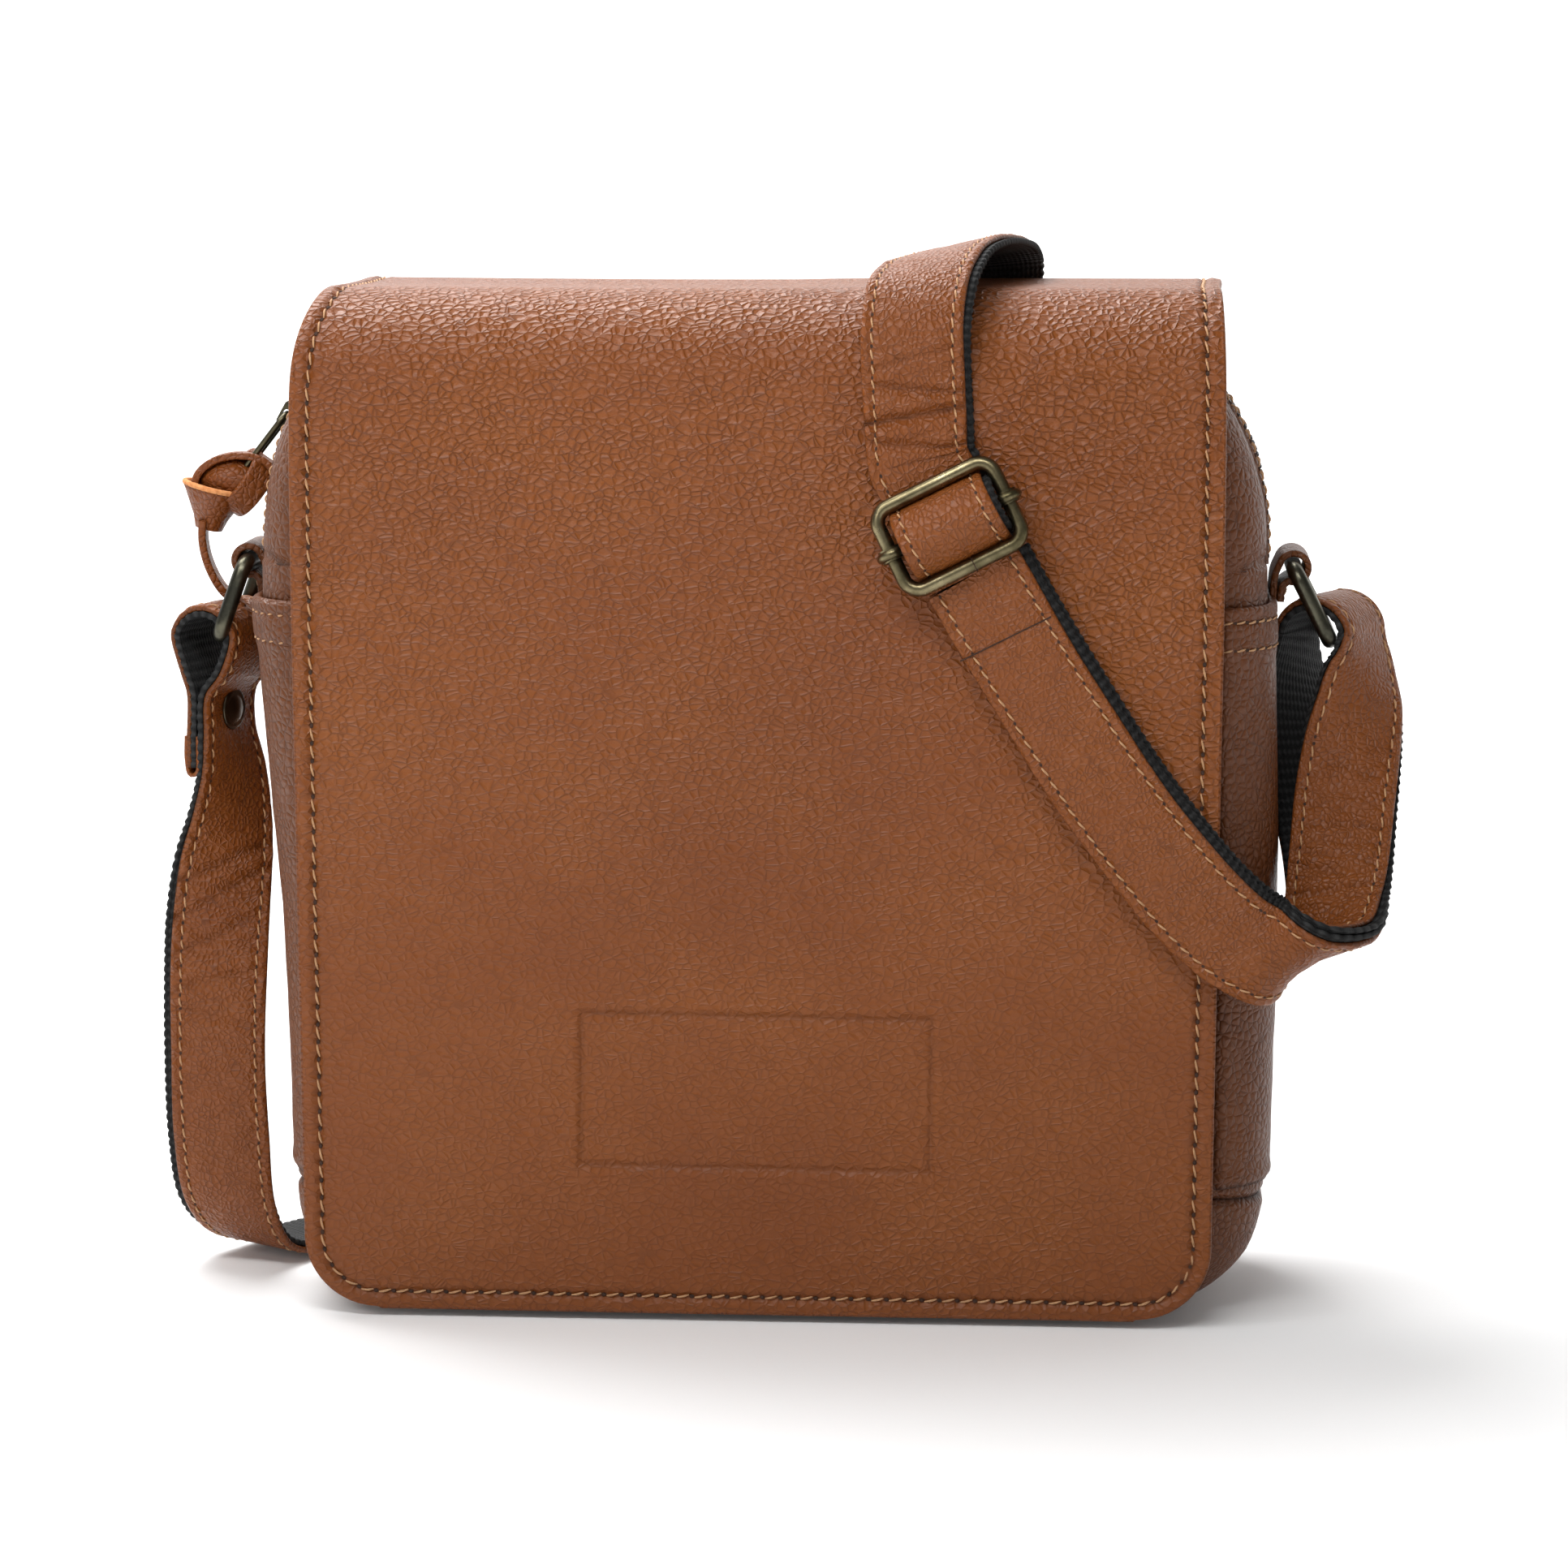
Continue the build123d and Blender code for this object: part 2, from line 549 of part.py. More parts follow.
def adjuster():
    """Wire frame, and a middle bar whose ends are wrapped round its sides."""
    reach = ADJUSTER_HEIGHT / 2
    top = Vector(*adjuster_point(-reach, TOP_BAR_OUT))
    bottom = Vector(*adjuster_point(reach, BOTTOM_BAR_OUT))
    bar = Vector(*adjuster_across())
    fall = bottom - top
    plane = Plane(origin=(top + bottom) * 0.5, x_dir=bar, z_dir=bar.cross(fall))
    outline = RectangleRounded(ADJUSTER_LENGTH, fall.length, ADJUSTER_CORNER)
    path = (plane * outline).wire()
    wire = sweep(Plane(origin=path @ 0, z_dir=path % 0) * Circle(ADJUSTER_WIRE), path)
    nodes["adjuster_frame"] = wire
    side = ADJUSTER_LENGTH / 2
    middle = Plane(origin=plane.origin, x_dir=plane.y_dir, z_dir=bar)
    eye = Plane(origin=plane.origin, x_dir=bar, z_dir=plane.y_dir)
    rod = middle * Cylinder(CENTRE_BAR_RADIUS, 2 * side)
    for offset in (-side, side):
        rod = rod + eye * (Pos(offset, 0, 0) * Cylinder(COLLAR_RADIUS, COLLAR_LENGTH))
        bore = Cylinder(ADJUSTER_WIRE + 2 * CLEARANCE, 2.5 * COLLAR_LENGTH)
        rod = rod - eye * (Pos(offset, 0, 0) * bore)
    nodes["adjuster_bar"] = rod


# ---------------------------------------------------------------- right-hand pair


PAIR_OUT = 3.4      # mid-surface of the pair, off the flap
PAIR_Y = FLAP_FRONT_Y - PAIR_OUT

DIAGONAL_ROUTE = [
    (adjuster_point(13.1, PAIR_OUT), adjuster_across()),
    ((61, PAIR_Y, 174.5), tuple(vector(28.5))),
    ((72, PAIR_Y, 156.5), tuple(vector(30))),
    ((86, PAIR_Y, 135), tuple(vector(33))),
    ((98.5, PAIR_Y, 118.5), tuple(vector(36))),
    ((109.5, PAIR_Y, 106), tuple(vector(39))),
]
LOOP_ROUTE = [
    ((118.6, PAIR_Y - 0.1, 97.9), tuple(vector(41))),
    ((126, PAIR_Y - 0.3, 93.6), (0.78, -0.04, 0.62)),
    ((134, -46.2, 93.6), (0.82, -0.22, 0.5)),
    ((140, -37, 97.5), (0.88, -0.35, 0.35)),
    ((143, -29, 105), (0.95, -0.2, 0.2)),
    ((144.2, -22.5, 115), (1, 0.0, 0.05)),
    ((145, -17.5, 127), (0.96, 0.25, 0)),
    ((145.3, -13, 139), (0.82, 0.57, 0)),
]
TURN_CENTRE = (143.5, 167.0)
TURN_RADIUS = 6.9
TURN_LEFT_X = 136.6
TURN_RIGHT_X = 150.4
TURN_LOW_Z = 160.05
OUTER_END = [((141.5, -5, 149.5), (0.45, 0.89, 0)), ((TURN_LEFT_X, 0, 160), Y_WAY)]
INNER_END = [((149.6, -6, 149.5), (0.45, 0.89, 0)), ((TURN_RIGHT_X, 0, 160), Y_WAY)]
LOOP_END_FLAT = [(LEAVE_DOWN, PAIR_OUT - GLUE_GAP - HALF_STRAP), (8, 1.75), (4, 2.1)]
PARTING_WAY = (0, 0.5, 1)
UPWARDS = (0, 0, 1)
DOWNWARDS = (0, 0, -1)


def strap_pair():
    """The pair runs down across the flap, curls back off its edge and parts; the outer
    strap turns round the right ring's lower bar and comes back as the inner one."""
    planes = sections(DIAGONAL_ROUTE + LOOP_ROUTE, first=adjuster_fall(), last=PARTING_WAY)
    bend = len(DIAGONAL_ROUTE)
    strap("strap_run", planes[: bend + 1], side=1)
    strap("strap_return", planes[: bend + 1], side=-1)
    strap("strap_outer", planes[bend:] + sections(OUTER_END, last=UPWARDS), side=1)
    strap("strap_inner", planes[bend:] + sections(INNER_END, last=UPWARDS), side=-1)
    over_bar = arc_points(TURN_CENTRE, TURN_RADIUS, range(180, -1, -30))
    turn = [(TURN_LEFT_X, TURN_LOW_Z)] + over_bar + [(TURN_RIGHT_X, TURN_LOW_Z)]
    route = [((x, 0, z), Y_WAY) for x, z in turn]
    strap("strap_turn", sections(route, first=UPWARDS, last=DOWNWARDS), side=1)


def strap_loop_end():
    """The inner strap's end, looped round the adjuster's middle bar."""
    wrap = arc_points((0, CENTRE_BAR_OUT), LOOP_RADIUS, range(-90, -346, -30))
    planes = sections(adjuster_route(LOOP_END_FLAT + wrap), first=-adjuster_fall())
    strap("strap_loop_end", planes)


# ---------------------------------------------------------------- build and write

body_panels()
inner_pieces()
side_pockets()
lugs()
flap()
magnetic_snap()
zip_slider()
zip_pull()
zip_stops()
ring("ring_left", -1, LEFT_RING_TILT)
ring("ring_right", 1, RIGHT_RING_TILT)
single_strap()
ring_rivet()
adjuster()
strap_pair()
strap_loop_end()

os.makedirs("parts", exist_ok=True)
for name, part in nodes.items():
    export_step(part, "parts/" + name + ".step")
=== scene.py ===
"""The look of the sling bag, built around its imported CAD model.

Lengths in the making functions are millimetres, turned into metres when a mesh is
made. X runs to the right of someone who faces the bag, -Y is its front, Z is up.
"""

import math

import bpy
import numpy as np
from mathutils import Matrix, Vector, noise


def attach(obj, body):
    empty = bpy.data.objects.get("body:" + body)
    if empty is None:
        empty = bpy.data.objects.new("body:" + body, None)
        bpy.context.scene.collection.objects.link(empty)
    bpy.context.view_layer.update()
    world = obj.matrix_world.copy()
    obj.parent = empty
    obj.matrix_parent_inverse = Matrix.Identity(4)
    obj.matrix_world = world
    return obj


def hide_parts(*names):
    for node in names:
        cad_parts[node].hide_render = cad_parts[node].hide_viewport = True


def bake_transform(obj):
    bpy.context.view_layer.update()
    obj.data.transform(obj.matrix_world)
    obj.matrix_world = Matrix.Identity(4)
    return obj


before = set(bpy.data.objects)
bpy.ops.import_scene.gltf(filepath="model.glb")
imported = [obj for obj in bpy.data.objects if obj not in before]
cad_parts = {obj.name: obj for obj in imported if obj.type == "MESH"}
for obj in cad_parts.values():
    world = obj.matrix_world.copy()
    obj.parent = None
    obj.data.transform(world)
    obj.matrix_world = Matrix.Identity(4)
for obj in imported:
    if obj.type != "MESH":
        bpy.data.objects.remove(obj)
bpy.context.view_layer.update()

MM = 0.001
scene = bpy.context.scene


# ---------------------------------------------------------------- camera, stage and light

SENSOR_WIDTH = 36
LENS = 108.1
CAMERA_PLACE = (0.0863, -1.1839, 0.3062)
CAMERA_AIM = (0.00356, 0, 0.12879)

# Soft boxes: place, aim, width and height in metres, and watts.
SOFT_BOXES = {
    "top_softbox": ((-0.4, 0.42, 1.1), (0, -0.05, 0), (0.9, 0.7), 19),
    "near_softbox": ((-0.12, -0.36, 0.6), (0, -0.05, 0.22), (0.6, 0.16), 2.6),
    "front_softbox": ((-0.9, -1.5, 0.9), (0, 0, 0.13), (0.7, 0.7), 4.2),
}

STAGE_FRONT = -9.0
STAGE_BACK = 1.3
STAGE_BEND = 0.9
STAGE_TOP = 3.2
STAGE_SIDES = (-9.0, 9.0)
PAPER_WHITE = 0.9
GLOW_FROM, GLOW_TO = 0.35, 1.5
GLOW_NEAR, GLOW_FAR = 0.03, 0.85
ROOM_LIGHT = 0.17


def look(obj, target):
    """Turns a camera or light towards a point."""
    aim = Vector(target) - obj.location
    obj.rotation_euler = aim.to_track_quat("-Z", "Y").to_euler()


def add_object(name, data):
    made = bpy.data.objects.new(name, data)
    scene.collection.objects.link(made)
    return made


def make_camera():
    """A long lens from a little to the right and above, as in the photograph."""
    data = bpy.data.cameras.new("camera")
    data.sensor_width = SENSOR_WIDTH
    data.lens = LENS
    camera = add_object("camera", data)
    camera.location = CAMERA_PLACE
    look(camera, CAMERA_AIM)
    scene.camera = camera


def make_lights():
    for name, (place, aim, size, power) in SOFT_BOXES.items():
        data = bpy.data.lights.new(name, "AREA")
        data.shape = "RECTANGLE"
        data.size, data.size_y = size
        data.energy = power
        light = add_object(name, data)
        light.location = place
        look(light, aim)


def make_stage():
    """A white floor that curves up into a white backdrop and glows away from the bag."""
    angles = np.linspace(-math.pi / 2, 0, 25)
    profile = [(STAGE_FRONT, 0.0)]
    profile += [(STAGE_BACK + STAGE_BEND * math.cos(a), STAGE_BEND * (1 + math.sin(a))) for a in angles]
    profile.append((STAGE_BACK + STAGE_BEND, STAGE_TOP))
    points = [(x, y, z) for x in STAGE_SIDES for y, z in profile]
    count = len(profile)
    faces = [(i, i + count, i + count + 1, i + 1) for i in range(count - 1)]
    mesh = bpy.data.meshes.new("studio_floor")
    mesh.from_pydata(points, [], faces)
    mesh.shade_smooth()
    floor = add_object("studio_floor", mesh)
    shader, nodes = surface("paper", "Object")
    away = nodes.add("ShaderNodeVectorMath", {0: nodes.place}, operation="LENGTH").outputs["Value"]
    glow = nodes.mapped(away, GLOW_FROM, GLOW_TO, GLOW_NEAR, GLOW_FAR)
    nodes.fill(shader, {
        "Base Color": (PAPER_WHITE, PAPER_WHITE, PAPER_WHITE, 1),
        "Roughness": 0.85,
        "Specular IOR Level": 0.1,
        "Emission Color": (1, 1, 1, 1),
        "Emission Strength": glow,
    })
    mesh.materials.append(MATERIALS["paper"])


def make_world():
    """A white room: soft light on the bag, and plain white behind it."""
    world = bpy.data.worlds.new("studio")
    world.use_nodes = True
    nodes = Nodes(world.node_tree)
    seen = nodes.add("ShaderNodeLightPath").outputs["Is Camera Ray"]
    strength = nodes.mapped(seen, 0, 1, ROOM_LIGHT, 1.0)
    nodes.fill(world.node_tree.nodes["Background"], {"Color": (1, 1, 1, 1), "Strength": strength})
    scene.world = world
    scene.view_settings.view_transform = "Standard"


# ---------------------------------------------------------------- materials

MATERIALS = {}


class Nodes:
    """Short ways to add shader nodes to a tree. A value is a number, a tuple or a socket."""

    def __init__(self, tree, source=None):
        self.tree = tree
        if source:
            self.place = self.add("ShaderNodeTexCoord").outputs[source]

    def fill(self, node, inputs):
        for key, value in inputs.items():
            if isinstance(value, bpy.types.NodeSocket):
                self.tree.links.new(value, node.inputs[key])
            else:
                node.inputs[key].default_value = value

    def add(self, kind, inputs=None, **settings):
        made = self.tree.nodes.new(kind)
        for key, value in settings.items():
            setattr(made, key, value)
        self.fill(made, inputs or {})
        return made

    def mapped(self, value, low, high, to_low=0.0, to_high=1.0):
        ends = {"Value": value, "From Min": low, "From Max": high, "To Min": to_low, "To Max": to_high}
        return self.add("ShaderNodeMapRange", ends).outputs["Result"]

    def mixed(self, share, first, second):
        """Colour mix of two colours or sockets."""
        colours = [c if isinstance(c, bpy.types.NodeSocket) else (*c, 1) for c in (first, second)]
        inputs = {0: share, 6: colours[0], 7: colours[1]}
        return self.add("ShaderNodeMix", inputs, data_type="RGBA").outputs[2]

    def plus(self, first, second, factor):
        """first + second * factor."""
        inputs = {0: second, 1: factor, 2: first}
        return self.add("ShaderNodeMath", inputs, operation="MULTIPLY_ADD").outputs[0]

    def times(self, first, second):
        return self.add("ShaderNodeMath", {0: first, 1: second}, operation="MULTIPLY").outputs[0]

    def vector(self, operation, *values):
        inputs = dict(enumerate(values))
        return self.add("ShaderNodeVectorMath", inputs, operation=operation).outputs[0]

    def noise(self, scale, detail, rough=0.5, output="Fac"):
        inputs = {"Vector": self.place, "Scale": scale, "Detail": detail, "Roughness": rough}
        return self.add("ShaderNodeTexNoise", inputs).outputs[output]

    def cells(self, place, scale, feature="DISTANCE_TO_EDGE", **inputs):
        inputs.update({"Vector": place, "Scale": scale})
        return self.add("ShaderNodeTexVoronoi", inputs, feature=feature).outputs["Distance"]

    def wave(self, scale, way):
        inputs = {"Vector": self.place, "Scale": scale, "Distortion": 0.6, "Detail": 1.0, "Detail Scale": 3.0}
        return self.add("ShaderNodeTexWave", inputs, bands_direction=way).outputs["Fac"]

    def dress(self, shader, colour, height, relief, distance, **others):
        """Colour and bump of a shader; others are its further inputs, with _ for a space."""
        bump = self.add("ShaderNodeBump", {"Height": height, "Strength": relief, "Distance": distance})
        self.fill(shader, {"Base Color": colour, "Normal": bump.outputs["Normal"]})
        self.fill(shader, {key.replace("_", " "): value for key, value in others.items()})


def surface(name, source):
    """A new material's shader and nodes, with its place taken from a texture coordinate."""
    made = bpy.data.materials.new(name)
    made.use_nodes = True
    MATERIALS[name] = made
    return made.node_tree.nodes["Principled BSDF"], Nodes(made.node_tree, source)


GRAIN_SWAY = 0.0022


def leather(name, dyes, grain=500.0, relief=0.5, source="UV", stretch=(1, 1, 1), smoother=None):
    """Pebbled full-grain leather: unevenly dyed, with cells of two sizes and painted shade in
    the grooves between the cells.

    dyes are its middle, deep and light colours. smoother is two distances along the piece
    in metres, between which the grain fades.
    """
    base, deep, light = dyes
    shader, nodes = surface(name, source)
    sway = nodes.vector("SUBTRACT", nodes.noise(140.0, 1.0, output="Color"), (0.5,) * 3)
    swayed = nodes.vector("MULTIPLY_ADD", sway, (GRAIN_SWAY,) * 3, nodes.place)
    drawn = nodes.add("ShaderNodeMapping", {"Vector": swayed, "Scale": stretch}).outputs[0]
    cells = nodes.cells(drawn, grain)
    small = nodes.cells(drawn, grain * 2.4)
    dome = nodes.cells(drawn, grain, "SMOOTH_F1", Smoothness=0.4)
    patches = nodes.noise(16.0, 3.0, 0.55)
    skin = nodes.noise(700.0, 5.0, 0.6)
    broken = nodes.mapped(nodes.noise(170.0, 1.0), 0.36, 0.6, 0.15, 1.0)
    # Painted shade in the grooves between the cells, broken up in places.
    crease_shade = nodes.times(nodes.mapped(cells, 0.0, 0.1, 0.55, 0.0), broken)
    strength = nodes.mapped(patches, 0.35, 0.65, 0.6, 1.0)
    if smoother is not None:
        down = nodes.add("ShaderNodeSeparateXYZ", {"Vector": nodes.place}).outputs["Y"]
        fade = nodes.mapped(down, *smoother, 1.0, 0.55)
        strength = nodes.times(strength, fade)
        crease_shade = nodes.times(crease_shade, fade)
    height = nodes.mapped(cells, 0.0, 0.5)
    for layer, depth in (
        (nodes.mapped(cells, 0.0, 0.14), 0.5),
        (dome, -0.7),
        (nodes.mapped(small, 0.0, 0.3), 0.12),
        (skin, 0.16),
    ):
        height = nodes.plus(height, layer, depth)
    height = nodes.times(height, strength)
    dye_and_shade = nodes.mixed(nodes.mapped(patches, 0.36, 0.66), base, light)
    blotch = nodes.noise(7.0, 2.0)
    dye_and_shade = nodes.mixed(nodes.mapped(blotch, 0.45, 0.75, 0.0, 0.55), dye_and_shade, deep)
    # The deep colour, darkened, is painted into the grooves as shade.
    dye_and_shade = nodes.mixed(crease_shade, dye_and_shade, tuple(channel * 0.55 for channel in deep))
    # A mesh attribute darkens it further: painted shade at seams, needle pinches, the emboss groove and
    # wrinkles, darker on the flap's rolled edge, and the dark dyed edges of the straps. It also roughens.
    shade_and_edge = nodes.add("ShaderNodeAttribute", attribute_name="shade_and_edge").outputs["Fac"]
    dye_and_shade = nodes.mixed(shade_and_edge, dye_and_shade, tuple(channel * 0.22 for channel in deep))
    rough = nodes.plus(nodes.mapped(skin, 0.3, 0.7, 0.37, 0.49), shade_and_edge, 0.25)
    nodes.dress(shader, dye_and_shade, height, relief, 0.0006, Roughness=rough, Specular_IOR_Level=0.34)


def cloth(name, base, light, across, along, relief=0.8, rough=0.75, source="UV"):
    """Woven fabric: two crossing sets of threads with loose fibres. Colour follows height: loose fibres
    lighter, and a painted highlight on the raised threads.
    """
    shader, nodes = surface(name, source)
    fuzz = nodes.noise(2600.0, 3.0)
    height = nodes.plus(nodes.wave(along, "Y"), nodes.wave(across, "X"), 0.6)
    height = nodes.plus(height, fuzz, 0.5)
    # Lighter where higher: lighter loose fibres, and a painted highlight on the raised threads.
    colour = nodes.mixed(nodes.mapped(height, 0.9, 1.9), base, light)
    sheen = nodes.mapped(fuzz, 0.3, 0.7, rough - 0.1, rough + 0.1)
    nodes.dress(shader, colour, height, relief, 0.0005, Roughness=sheen, Specular_IOR_Level=0.3)


def metal(name, base, painted_highlight, rough):
    """Plated wire with a patina: dark patina and brighter patches at random, the brighter ones a painted
    highlight, and fine scratches.
    """
    shader, nodes = surface(name, "Object")
    patina_and_highlight = nodes.noise(60.0, 5.0, 0.65)
    grit = nodes.noise(1500.0, 4.0)
    # Random patches of dark patina and of a painted highlight colour.
    colour = nodes.mixed(nodes.mapped(patina_and_highlight, 0.4, 0.68), base, painted_highlight)
    sheen = nodes.mapped(patina_and_highlight, 0.35, 0.7, rough + 0.12, rough - 0.05)
    nodes.dress(shader, colour, grit, 0.25, 0.0002, Roughness=sheen, Metallic=1.0)


def plain(name, base, light, rough, scale=300.0, relief=0.3):
    """A fine matt surface such as thread, a raw edge or a coil."""
    shader, nodes = surface(name, "Object")
    grit = nodes.noise(scale, 4.0, 0.6)
    colour = nodes.mixed(nodes.mapped(grit, 0.35, 0.65), base, light)
    nodes.dress(shader, colour, grit, relief, 0.0003, Roughness=rough)


# Middle, deep and light colours of the leather, and a darker copy for the body, whose sides face away from
# the light: painted shade.
TANS = ((0.2, 0.0525, 0.007), (0.14, 0.032, 0.004), (0.232, 0.066, 0.0105))
SHADED_BODY_TANS = ((0.125, 0.035, 0.007), (0.08, 0.021, 0.004), (0.15, 0.045, 0.01))

leather("flap_leather", TANS, relief=0.7, stretch=(0.85, 1.15, 1), smoother=(0.16, 0.3))
leather("body_leather", SHADED_BODY_TANS, source="Object")
leather("strap_leather", TANS, grain=700.0)
leather("thong_leather", TANS, grain=600.0, source="Object")
cloth("webbing", (0.004, 0.004, 0.004), (0.028, 0.028, 0.028), 260.0, 125.0)
cloth("flap_lining", (0.05, 0.028, 0.016), (0.11, 0.066, 0.04), 300.0, 300.0, 0.4, 0.8)
cloth("bag_lining", (0.012, 0.012, 0.013), (0.04, 0.04, 0.042), 330.0, 330.0, 0.4, 0.8, "Object")
cloth("zip_tape", (0.008, 0.008, 0.008), (0.035, 0.035, 0.035), 420.0, 420.0, 0.5, 0.8, "Object")
plain("suede", (0.55, 0.20, 0.06), (0.72, 0.32, 0.12), 0.95, 900.0, 0.8)
plain("zip_coil", (0.012, 0.012, 0.012), (0.03, 0.03, 0.03), 0.38, 500.0, 0.1)
plain("board", (0.12, 0.1, 0.08), (0.2, 0.17, 0.13), 0.9)
plain("thread", (0.4, 0.2, 0.09), (0.52, 0.3, 0.15), 0.6, 1800.0, 0.6)
# Painted shade for needle holes, the adjuster's butt seam and the strap's splice.
plain("painted_shade", (0.028, 0.012, 0.006), (0.05, 0.02, 0.01), 0.9)
# Each metal: a dark patina colour, a painted highlight colour and a roughness.
metal("ring_metal", (0.045, 0.044, 0.034), (0.16, 0.15, 0.105), 0.3)
metal("adjuster_metal", (0.085, 0.072, 0.036), (0.34, 0.285, 0.165), 0.27)
metal("zip_metal", (0.05, 0.045, 0.03), (0.2, 0.17, 0.1), 0.3)
metal("snap_metal", (0.03, 0.027, 0.02), (0.12, 0.1, 0.07), 0.32)


# ---------------------------------------------------------------- mesh making


def unit(vectors):
    vectors = np.asarray(vectors, float)
    return vectors / np.maximum(np.linalg.norm(vectors, axis=-1, keepdims=True), 1e-12)


def bell(gap, width):
    """1 at no gap, falling smoothly to nothing over a few widths."""
    return np.exp(-((gap / width) ** 2))


def ramp(value, start, end):
    """0 up to start, 1 past end, straight between; start may be the larger."""
    return np.clip((value - start) / (end - start), 0, 1)


def full_turn(count):
    return np.linspace(0, 2 * math.pi, count, endpoint=False)


def ellipse(count, first, second):
    """Points round the origin, from its half axis first towards its half axis second."""
    turns = full_turn(count)
    return np.outer(np.cos(turns), first) + np.outer(np.sin(turns), second)


def lengths(path):
    """Distance along a path at each of its points."""
    return np.concatenate(([0], np.cumsum(np.linalg.norm(np.diff(path, axis=0), axis=1))))


def sampled(at, run, values):
    """Rows of values, known at the distances run, taken at other distances."""
    return np.stack([np.interp(at, run, values[:, k]) for k in range(values.shape[1])], -1)


def noise_at(points, size, seed=0):
    """Smooth noise of about -1 to 1, with features size millimetres across."""
    shift = Vector((seed * 17.3, seed * 5.1, seed * 9.7))
    flat = np.asarray(points, float).reshape(-1, 3) / size
    values = [noise.noise(Vector(p) + shift) for p in flat]
    return np.array(values).reshape(np.shape(points)[:-1])


def steps(start, end, coarse, fine=None, near=(), reach=3.0):
    """Places from start to end, closer together within reach of the places in near."""
    places = [start]
    while places[-1] < end:
        close = any(abs(places[-1] - place) < reach for place in near)
        places.append(places[-1] + (fine if close else coarse))
    places[-1] = end
    return np.array(places)


class Form:
    """A mesh put together from grids, tubes and loose faces."""

    def __init__(self):
        self.points = []
        self.faces = []
        self.places = []
        self.shades_and_edges = []
        self.count = 0

    def add(self, points, faces, places=None, shades_and_edges=None):
        points = np.asarray(points, float).reshape(-1, 3)
        number = len(points)
        self.points.append(points)
        self.places.append(np.zeros((number, 2)) if places is None else np.reshape(places, (-1, 2)))
        self.shades_and_edges.append(np.zeros(number) if shades_and_edges is None else np.reshape(shades_and_edges, -1))
        self.faces += [tuple(self.count + i for i in face) for face in faces]
        self.count += number

    def grid(self, points, places=None, shades_and_edges=None, wrap=False, keep=None):
        """Quads over points[row][column]; wrap joins the last column to the first."""
        rows, columns = np.shape(points)[:2]
        last = columns if wrap else columns - 1
        faces = []
        for i in range(rows - 1):
            for j in range(last):
                k = (j + 1) % columns
                if keep is None or keep(i, j):
                    here, ahead = i * columns, (i + 1) * columns
                    faces.append((here + j, here + k, ahead + k, ahead + j))
        self.add(points, faces, places, shades_and_edges)

    def loft(self, rings, places=None, shades_and_edges=None):
        """Closed rings[row][point] joined in turn, with flat end faces of their own."""
        rings = np.asarray(rings, float)
        self.grid(rings, places, shades_and_edges, wrap=True)
        number = rings.shape[1]
        shade_and_edge = 0.0 if shades_and_edges is None else float(np.mean(shades_and_edges))
        self.add(rings[0], [tuple(range(number))[::-1]], None, np.full(number, shade_and_edge))
        self.add(rings[-1], [tuple(range(number))], None, np.full(number, shade_and_edge))

    def tube(self, path, radius, sides=8, closed=False, flat=1.0):
        """A round tube along a path, its frame carried along without twist."""
        path = np.asarray(path, float)
        ahead = np.roll(path, -1, 0) - np.roll(path, 1, 0) if closed else np.gradient(path, axis=0)
        tangents = unit(ahead)
        side = np.cross(tangents[0], (0.31, 0.17, 0.93))
        radii = np.broadcast_to(radius, len(path))
        rings = []
        for point, tangent, size in zip(path, tangents, radii):
            side = unit(side - tangent * (side @ tangent))
            up = np.cross(tangent, side)
            rings.append(point + size * ellipse(sides, side, flat * up))
        if closed:
            rings.append(rings[0])
            self.grid(rings, wrap=True)
        else:
            self.loft(rings)

    def make(self, name, material):
        mesh = bpy.data.meshes.new(name)
        points = np.concatenate(self.points) * MM
        mesh.from_pydata(points.tolist(), [], self.faces)
        mesh.shade_smooth()
        corners = np.zeros(len(mesh.loops), np.int32)
        mesh.loops.foreach_get("vertex_index", corners)
        layer = mesh.uv_layers.new(name="UVMap")
        places = np.concatenate(self.places) * MM
        layer.data.foreach_set("uv", places[corners].astype(np.float32).ravel())
        # Per-point darkening for the leather: painted shade at seams, pinches, grooves and wrinkles, the
        # flap's rolled edge, and dark dyed strap edges.
        shade_and_edge = mesh.attributes.new("shade_and_edge", "FLOAT", "POINT")
        shade_and_edge.data.foreach_set("value", np.concatenate(self.shades_and_edges).astype(np.float32))
        mesh.materials.append(MATERIALS[material])
        made = add_object(name, mesh)
        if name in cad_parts:
            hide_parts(name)
        return made

    def make_riding(self, name, material, body):
        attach(self.make(name, material), body)


def trace(parts, along):
    """Points and outward normals at distances along an outline of lines and arcs."""
    along = np.asarray(along, float)
    points = np.zeros(along.shape + (2,))
    normals = np.zeros_like(points)
    start = 0.0
    for index, part in enumerate(parts):
        length = part["length"]
        last = index == len(parts) - 1
        inside = (along >= start - 1e-9) & ((along < start + length) | last)
        local = along[inside] - start
        if "centre" in part:
            angle = np.radians(part["from"]) + local / part["radius"]
            normal = np.stack([np.cos(angle), np.sin(angle)], -1)
            points[inside] = np.array(part["centre"]) + part["radius"] * normal
            normals[inside] = normal
        else:
            way = np.array(part["way"], float)
            points[inside] = np.array(part["start"]) + np.outer(local, way)
            normals[inside] = (way[1], -way[0])
        start += length
    return points, normals


def line(start, way, length):
    return {"start": start, "way": way, "length": length}


def arc(centre, radius, start_angle):
    """A quarter turn to the left, from an angle in degrees."""
    return {"centre": centre, "radius": radius, "from": start_angle, "length": radius * math.pi / 2}


def total(parts):
    return sum(part["length"] for part in parts)


